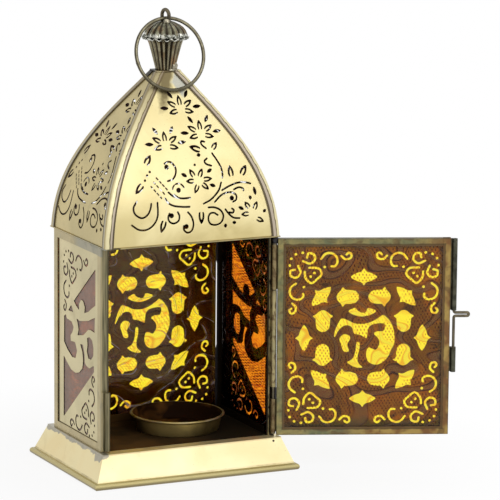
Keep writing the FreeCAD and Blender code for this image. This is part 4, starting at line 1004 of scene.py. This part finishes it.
wallSheet("door_panel", (doorSheet["left"], doorSheet["right"], doorSheet["foot"], doorSheet["top"]),
          lambda u, z: doorCuts(doorSheet["middle"] - u, z - walls["figureZ"]), doorSheet["depths"],
          lambda u, depth, z: swung(np.stack([u, depth, z], -1)), "door", paleBrass, doorInnerBrass)
wallSheet("panel_back", (walls["backLeft"], walls["backRight"], walls["foot"], walls["top"]),
          lambda u, z: doorCuts(u, z - walls["figureZ"]), walls["backDepths"],
          lambda u, depth, z: np.stack([u, depth, z], -1), "lantern", paleBrass, backInnerBrass)
for side, sign in (("left", -1), ("right", 1)):
    wallSheet("panel_" + side, (walls["sideFront"], walls["sideRear"], walls["foot"], walls["top"]),
              lambda u, z: sideCuts(sign * (u + walls["sideShift"]), z - walls["sideFigureZ"]), walls["sideDepths"],
              lambda u, depth, z: np.stack([sign * depth, u, z], -1), "lantern", leftBrass, sideInnerBrass)
print("wall sheets made")

# Roof: half its width by height is the quartic through five stations; the depth is a share of the width.
roof = {"foot": 122.6, "rise": 83.4, "rises": [0, 22.0, 37.5, 57.5, 83.4], "halves": [48.2, 44.6, 38.6, 26.5, 6.3],
        "ratio": 71.6 / 96.4, "sheet": 0.5, "sideShift": 4.0, "edge": 3.0, "columns": 210, "rows": 208}
roofCurve = np.polyfit(np.array(roof["rises"]) / roof["rise"], roof["halves"], 4)


def roofHalf(z):
    return np.polyval(roofCurve, (z - roof["foot"]) / roof["rise"])


def roofSlope(z):
    return np.polyval(np.polyder(roofCurve), (z - roof["foot"]) / roof["rise"]) / roof["rise"]


# Half a panel's width is the roof's half times across, and its distance from the middle the half times outwards.
def roofPanel(facing, across, outwards, shift, turn, cover):
    along, z = np.meshgrid(np.linspace(-1, 1, roof["columns"]),
                           np.linspace(roof["foot"], roof["foot"] + roof["rise"], roof["rows"]), indexing="ij")
    width = roofHalf(z) * across
    out = roofHalf(z) * outwards
    lean = roofSlope(z) * outwards
    length = np.sqrt(1 + lean ** 2)
    x = along * width
    field = np.maximum(roofCuts(x - shift, z), roof["edge"] - (width - np.abs(x)))
    outer = turn(x, out, z)
    inner = turn(x * ((width - roof["sheet"]) / width), out - roof["sheet"] / length,
                 z + roof["sheet"] * lean / length)
    makeSheet("roof_" + facing, x.shape, field, np.stack(outer, -1), np.stack(inner, -1), "lantern", True, cover,
              backInnerBrass)


ratio, sideShift = roof["ratio"], roof["sideShift"]
roofPanel("front", 1.0, ratio, 0.0, lambda x, out, z: (x, -out, z), roofFrontBrass)
roofPanel("back", 1.0, ratio, 0.0, lambda x, out, z: (-x, out, z), paleBrass)
roofPanel("left", ratio, 1.0, sideShift, lambda x, out, z: (-out, -x, z), roofLeftBrass)
roofPanel("right", ratio, 1.0, sideShift, lambda x, out, z: (out, x, z), paleBrass)

# Strips folded over the hips: an angle section, rounded at its fold, carried up the roof's curve.
hip = {"width": 4.0, "sheet": 0.5, "seat": 0.02, "stations": 60, "fold": 1.0, "foldSteps": 5, "topGap": 0.05,
       "widest": 0.62, "sideRatio": 0.74, "sharpAngle": 35}


def hipStrip(name, sx, sy):
    z = np.linspace(roof["foot"], roof["foot"] + roof["rise"] - hip["topGap"], hip["stations"])
    half = roofHalf(z)
    slope = roofSlope(z)
    slantX = np.sqrt(1 + slope ** 2)
    slantY = np.sqrt(1 + (slope * ratio) ** 2)
    cornerX = half + hip["seat"] * slantX
    cornerY = half * ratio + hip["seat"] * slantY
    outerX = cornerX + hip["sheet"] * slantX
    outerY = cornerY + hip["sheet"] * slantY
    width = np.minimum(hip["width"], half * hip["widest"])
    deep = np.minimum(hip["width"], half * hip["widest"] * ratio / hip["sideRatio"])
    line = [(cornerX - width, cornerY), (cornerX, cornerY), (cornerX, cornerY - deep), (outerX, cornerY - deep)]
    for angle in np.linspace(0, math.pi / 2, hip["foldSteps"]):
        line.append((outerX - hip["fold"] * (1 - math.cos(angle)), outerY - hip["fold"] * (1 - math.sin(angle))))
    line.append((cornerX - width, outerY))
    points = np.stack([np.stack([sx * px, sy * py, z], -1) for px, py in line], 1).reshape(-1, 3)
    count = len(line)
    caps = [np.arange(count)[None, :], (np.arange(count) + (hip["stations"] - 1) * count)[None, ::-1]]
    faces = [gridFaces(hip["stations"], count, around=True)] + caps
    smooth = np.concatenate([np.ones(len(faces[0]), bool), [False, False]])
    piece = makePiece(name + "_strip", points, faces, [hipBrass], "lantern", [name], None, smooth)
    piece.data.set_sharp_from_angle(angle=math.radians(hip["sharpAngle"]))


for nameY, sy in (("front", -1), ("rear", 1)):
    for nameX, sx in (("left", -1), ("right", 1)):
        hipStrip("hip_%s_%s" % (nameY, nameX), sx, sy)
print("roof made")

# Finial: gathered sheet. Radius and height swell with the cosine of the angle times the number of flutes.
finial = {"sides": 360, "wobble": 0.25, "crest": 0.7, "share": 0.6,
          "cup": [(0, 0), (5.1, 0), (5.2, 0.6), (5.9, 3.4), (6.7, 6.6), (7.6, 10.0), (8.5, 13.2), (9.2, 15.0),
                  (10.4, 15.8), (11.6, 16.0), (12.3, 16.3), (12.2, 16.8), (11.2, 16.5), (9.6, 16.4), (0, 16.4)],
          "cupDepth": [0.35, 0.45, 0.7, 0.85, 0.95, 1.0, 0.95, 0.85, 0.6, 0.5, 0.45, 0.3, 0.0],
          "cupLift": [0, 0, 0, 0, 0, 0, 0, 0.2, 0.4, 0.55, 0.55, 0.4, 0.0],
          "cap": [(0, 0.1), (9.8, 0.1), (11.3, 0.3), (11.6, 0.8), (11.1, 2.0), (10.4, 3.5), (9.2, 5.0), (7.5, 6.3),
                  (5.2, 7.5), (2.6, 8.35), (0, 8.5)],
          "capDepth": [0.2, 0.7, 0.8, 0.8, 0.75, 0.7, 0.6, 0.45, 0.2]}


def fluted(depths, lifts=None):
    depths = np.asarray(depths, float)[:, None]
    lifts = np.zeros_like(depths) if lifts is None else np.asarray(lifts, float)[:, None]

    def shape(r, z, turn):
        wave = np.cos(turn * fluteCount)
        wobble = 1 + finial["wobble"] * np.sin(3 * turn + 1.0)
        crest = np.abs(0.5 + 0.5 * wave) ** finial["crest"]
        return r - depths * wobble * 2 * (1 - crest) * finial["share"], z + lifts * wave * wobble
    return shape


for part, foot, shape in (("cup", 206.7, fluted(finial["cupDepth"], finial["cupLift"])),
                          ("cap", 223.4, fluted(finial["capDepth"]))):
    points, faces = turnedShape(finial[part], finial["sides"], (0, 0, foot), shape)
    makePiece("gathered_" + part, points, faces, [finialBrass], "lantern", ["finial_" + part])

# Carrying ring: a round wire bent to a circle and leaning on the roof; a bead of solder closes it.
ring = {"radius": 18.7, "wire": 0.95, "pivot": 233.1, "lean": 18.0, "stations": 160, "sides": 20, "joint": 3.35}
t = np.linspace(0, 2 * math.pi, ring["stations"], endpoint=False)[:, None]
a = np.linspace(0, 2 * math.pi, ring["sides"], endpoint=False)[None, :]
wire = ring["wire"] * (1 + 0.14 * np.exp(-((t - ring["joint"]) / 0.035) ** 2))
reach = ring["radius"] + wire * np.cos(a)
flatX = reach * np.cos(t)
flatY = wire * np.sin(a) + 0 * t
flatZ = reach * np.sin(t) - ring["radius"]
lean = -math.radians(ring["lean"])
ringPoints = np.stack([flatX, flatY * math.cos(lean) - flatZ * math.sin(lean),
                       ring["pivot"] + flatY * math.sin(lean) + flatZ * math.cos(lean)], -1).reshape(-1, 3)
makePiece("ring_wire", ringPoints, [gridFaces(ring["stations"], ring["sides"], True, True)], [ringBrass],
          "carrying_ring", ["carrying_ring"])

# Dish: a pressed pan with a rolled rim, turned about its own middle.
dish = {"centre": (*dishMiddle, 16.5), "sides": 96, "rimRow": 11,
        "profile": [(0, 0), (20.8, 0), (21.4, 0.2), (21.7, 0.8), (22.6, 4.0), (23.3, 7.0), (23.5, 7.7), (24.1, 7.9),
                    (24.6, 8.1), (24.8, 8.5), (24.6, 8.85), (24.1, 9.0), (23.5, 8.9), (23.1, 8.5), (22.8, 7.4),
                    (22.0, 4.2), (21.2, 1.3), (20.8, 0.8), (20.2, 0.6), (0, 0.6)]}
dishPoints, dishFaces = turnedShape(dish["profile"], dish["sides"], dish["centre"])
dishSlots = np.repeat(np.arange(len(dish["profile"]) - 3) >= dish["rimRow"], dish["sides"])
dishSlots = np.concatenate([dishSlots, np.zeros(dish["sides"]), np.ones(dish["sides"])])
makePiece("dish_pan", dishPoints, dishFaces, [dishBrass, dishInnerBrass], "candle_dish",
          ["candle_dish"], dishSlots)
print("turned pieces made")


# A copy of a node's mesh with its corners merged, its flat faces joined and its edges eased. The foot's broad
# faces keep sharp edges. Lengths in the copy are metres.
easing = {"width": 0.12, "merge": 1e-6, "flatAngle": 0.5, "broadArea": 1e-4, "sharpAngle": 28, "bevelAngle": 40}


def eased(name, material, body, width):
    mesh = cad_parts[name].data.copy()
    mesh.name = name + "_eased"
    work = bmesh.new()
    work.from_mesh(mesh)
    bmesh.ops.remove_doubles(work, verts=work.verts, dist=easing["merge"])
    flatAngle = math.radians(easing["flatAngle"])
    bmesh.ops.dissolve_limit(work, angle_limit=flatAngle, verts=work.verts, edges=work.edges)
    broad = [any(face.calc_area() > easing["broadArea"] for face in edge.link_faces) for edge in work.edges]
    work.to_mesh(mesh)
    work.free()
    mesh.materials.clear()
    mesh.materials.append(material)
    mesh.polygons.foreach_set("material_index", np.zeros(len(mesh.polygons), np.int32))
    mesh.polygons.foreach_set("use_smooth", np.ones(len(mesh.polygons), bool))
    mesh.set_sharp_from_angle(angle=math.radians(easing["sharpAngle"]))
    if name == "foot_skirt":
        sharp = mesh.attributes["sharp_edge"].data
        sharp.foreach_set("value", np.array(broad) | np.array([row.value for row in sharp]))
    mesh.update()
    piece = linked(name + "_eased", mesh)
    if width:
        bevel = piece.modifiers.new("edges", "BEVEL")
        bevel.width = width * milli
        bevel.segments = 2
        bevel.limit_method = "ANGLE"
        bevel.angle_limit = math.radians(easing["bevelAngle"])
        bevel.harden_normals = False
        bevel.use_clamp_overlap = True
    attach(piece, body)
    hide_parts(name)


easedPieces = {
    "lantern": {
        postBrass: ["post_front_right"],
        frameBrass: ["post_front_left", "post_rear_left", "post_rear_right", "rail_left_bottom",
                     "rail_left_top", "rail_right_bottom", "rail_right_top", "rail_back_bottom", "rail_back_top",
                     "eave_frame", "keeper_tube"],
        hingeBrass: ["hinge_knuckle"],
        footBrass: ["foot_skirt"],
        hipBrass: ["roof_crown"],
        wireBrass: ["hanging_loop", "hinge_pin"],
    },
    "door": {
        doorBrass: ["door_rail_top", "door_stile_hinge", "door_rail_bottom", "door_stile_latch"],
        tubeBrass: ["latch_tube_lower", "latch_tube_upper"],
        knuckleBrass: ["door_knuckle_lower", "door_knuckle_upper"],
    },
    "slide_bolt": {wireBrass: ["slide_bolt"]},
}
roundNodes = ("hanging_loop", "hinge_pin", "slide_bolt", "keeper_tube", "door_knuckle_lower", "latch_tube_lower",
              "latch_tube_upper", "door_knuckle_upper", "hinge_knuckle", "foot_skirt")
for body, finishes in easedPieces.items():
    for material, names in finishes.items():
        for name in names:
            eased(name, material, body, 0.0 if name in roundNodes else easing["width"])


flatNodes = {"floor_plate": deckBrass, "door_glass": doorGlass, "glass_back": backGlass, "glass_left": leftGlass,
             "glass_right": rightGlass}
for name, material in flatNodes.items():
    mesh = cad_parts[name].data
    if not len(mesh.materials):
        mesh.materials.append(material)
    for index in range(len(mesh.materials)):
        mesh.materials[index] = material
print("frames eased")


# Lumps of solder: a flattened ball, its radius swelling and shrinking with two waves of the angle round it
def solderLump(name, centre, size, seed, material):
    rows, sides = 12, 20
    up = np.linspace(-math.pi / 2, math.pi / 2, rows + 2)[:, None]
    profile = np.concatenate([np.cos(up), np.sin(up)], 1)

    def shape(r, z, turn):
        swell = 1 + 0.16 * np.sin(2 * turn + seed) + 0.10 * np.sin(3 * turn + 5 * z + 2 * seed)
        return r * swell, z
    points, faces = turnedShape(profile, sides, (0, 0, 0), shape)
    makePiece(name, points * np.array(size) + np.array(centre), faces, [material], "lantern")


solderLumps = {
    "solder_finial_neck": ((3.4, -3.8, 208.4), (1.9, 1.5, 2.5), 0.0, solderGrey),
    "solder_crown": ((2.0, -4.6, 206.9), (2.0, 1.2, 0.9), 1.7, solderGrey),
    "solder_loop_foot": ((-0.8, -3.2, 231.6), (1.5, 1.3, 1.6), 3.4, solderGrey),
    "solder_hinge_top": ((47.9, -32.9, 119.7), (1.5, 1.3, 2.2), 2.0, solderDarkAndShade),
}
for name, (centre, size, seed, material) in solderLumps.items():
    solderLump(name, centre, size, seed, material)


# A dark run, of solder along the slit and of painted shade in the lower hinge gap: an oval section carried up a line,
# its middle and half width given by smooth functions of height
runGrid = {"stations": 60, "sides": 16}


def solderRun(name, bottom, top, middle, halfWidth, y, depth, body="lantern", turned=False):
    stations, sides = runGrid["stations"], runGrid["sides"]
    z = np.linspace(bottom, top, stations)[:, None]
    turn = np.linspace(0, 2 * math.pi, sides, endpoint=False)[None, :]
    closing = np.sqrt(np.clip(1 - (2 * (z - bottom) / (top - bottom) - 1) ** 16, 0.0004, 1))
    x = middle(z) + halfWidth(z) * np.cos(turn) * closing
    points = np.stack([x, y + depth * np.sin(turn) * closing, z + 0 * turn], -1)
    if turned:
        points = swung(points)
    ends = [np.arange(sides)[None, ::-1], (np.arange(sides) + (stations - 1) * sides)[None, :]]
    faces = [gridFaces(stations, sides, around=True)] + ends
    makePiece(name, points.reshape(-1, 3), faces, [solderDarkAndShade], body)


# The slit beside the back pane is half closed, and closed above and below: 1 where closed, 0 round its middle
slit = {"middle": 74.5, "half": 23.5, "soft": 0.8}


def slitShut(z):
    return 0.5 + 0.5 * np.tanh((np.abs(z - slit["middle"]) - slit["half"]) / slit["soft"])


solderRun("solder_slit", 17.3, 121.3, lambda z: 44.45 - 0.45 * slitShut(z), lambda z: 0.55 + 0.3 * slitShut(z),
          30.2, 0.3)
# A near-black run in the lower hinge gap, riding with the door: a dark piece standing in for the shade there
solderRun("hinge_gap_shade", 35.9, 42.6, lambda z: 46.4 + 0 * z, lambda z: 0.47 + 0.03 * np.sin(z), -31.99, 0.45,
          "door", True)


# Floor, light and camera. The floor's reach is in metres; it is a little darker close to the lantern, from near to
# far in millimetres.
floorLook = {"reach": 8.0, "near": 90.0, "far": 200.0, "darkest": 0.86}


def makeFloor():
    mesh = bpy.data.meshes.new("floor")
    reach = floorLook["reach"]
    corners = [(-reach, -reach, 0), (reach, -reach, 0), (reach, reach, 0), (-reach, reach, 0)]
    mesh.from_pydata(corners, [], [(0, 1, 2, 3)])
    floor = linked("floor", mesh)
    finish = Finish("paleFloor")
    x, y, z = finish.place()
    away = ((x * x + y * y) ** 0.5).rise(floorLook["near"], floorLook["far"])
    share = floorLook["darkest"] + away * (1 - floorLook["darkest"])
    plain = finish.node("ShaderNodeBsdfDiffuse", None, {"Color": (0.95, 0.95, 0.95, 1)})
    glow = finish.node("ShaderNodeEmission", None, {"Color": (1, 1, 1, 1), "Strength": 1.0})
    mixed = finish.node("ShaderNodeMixShader", None, {0: finish.seen() * share, 1: plain, 2: glow})
    mesh.materials.append(finish.close(mixed))


makeFloor()
world = bpy.data.worlds.new("studio")
bpy.context.scene.world = world
world.use_nodes = True
studio = {"light": 0.62, "seen": 1.0}
sky = Finish("studio", world.node_tree)
strength = studio["light"] + sky.seen() * (studio["seen"] - studio["light"])
glow = sky.node("ShaderNodeBackground", None, {"Color": (1, 1, 1, 1), "Strength": strength})
sky.node("ShaderNodeOutputWorld", None, {"Surface": glow})


def softLamp(name, position, target, size, power):
    data = bpy.data.lights.new(name, "AREA")
    data.shape = "SQUARE"
    data.size = size
    data.energy = power
    lamp = linked(name, data)
    lamp.location = position
    aim = Vector(target) - Vector(position)
    lamp.rotation_euler = aim.to_track_quat("-Z", "Y").to_euler()


softLamp("key", (0.10, -1.75, 1.10), (0, 0, 0.10), 1.1, 7.0)
softLamp("top", (-0.2, -0.3, 1.7), (0, 0, 0.1), 1.2, 3.0)

lens = {"focal": 271.86, "place": (-0.7812, -1.7516, 0.4835),
        "right": (0.90432, -0.42677, 0.00844), "down": (-0.07354, -0.17524, -0.98178),
        "forward": (0.42047, 0.88722, -0.18986)}
cameraData = bpy.data.cameras.new("camera")
cameraData.lens = lens["focal"]
cameraData.sensor_width = 36.0
cameraData.clip_end = 50.0
camera = linked("camera", cameraData)
axes = [Vector(lens["right"]), -Vector(lens["down"]), -Vector(lens["forward"])]
camera.matrix_world = Matrix([(*axis, 0.0) for axis in axes] + [(*lens["place"], 1.0)]).transposed()
bpy.context.scene.camera = camera
bpy.context.scene.view_settings.view_transform = "Standard"
print("stage set")
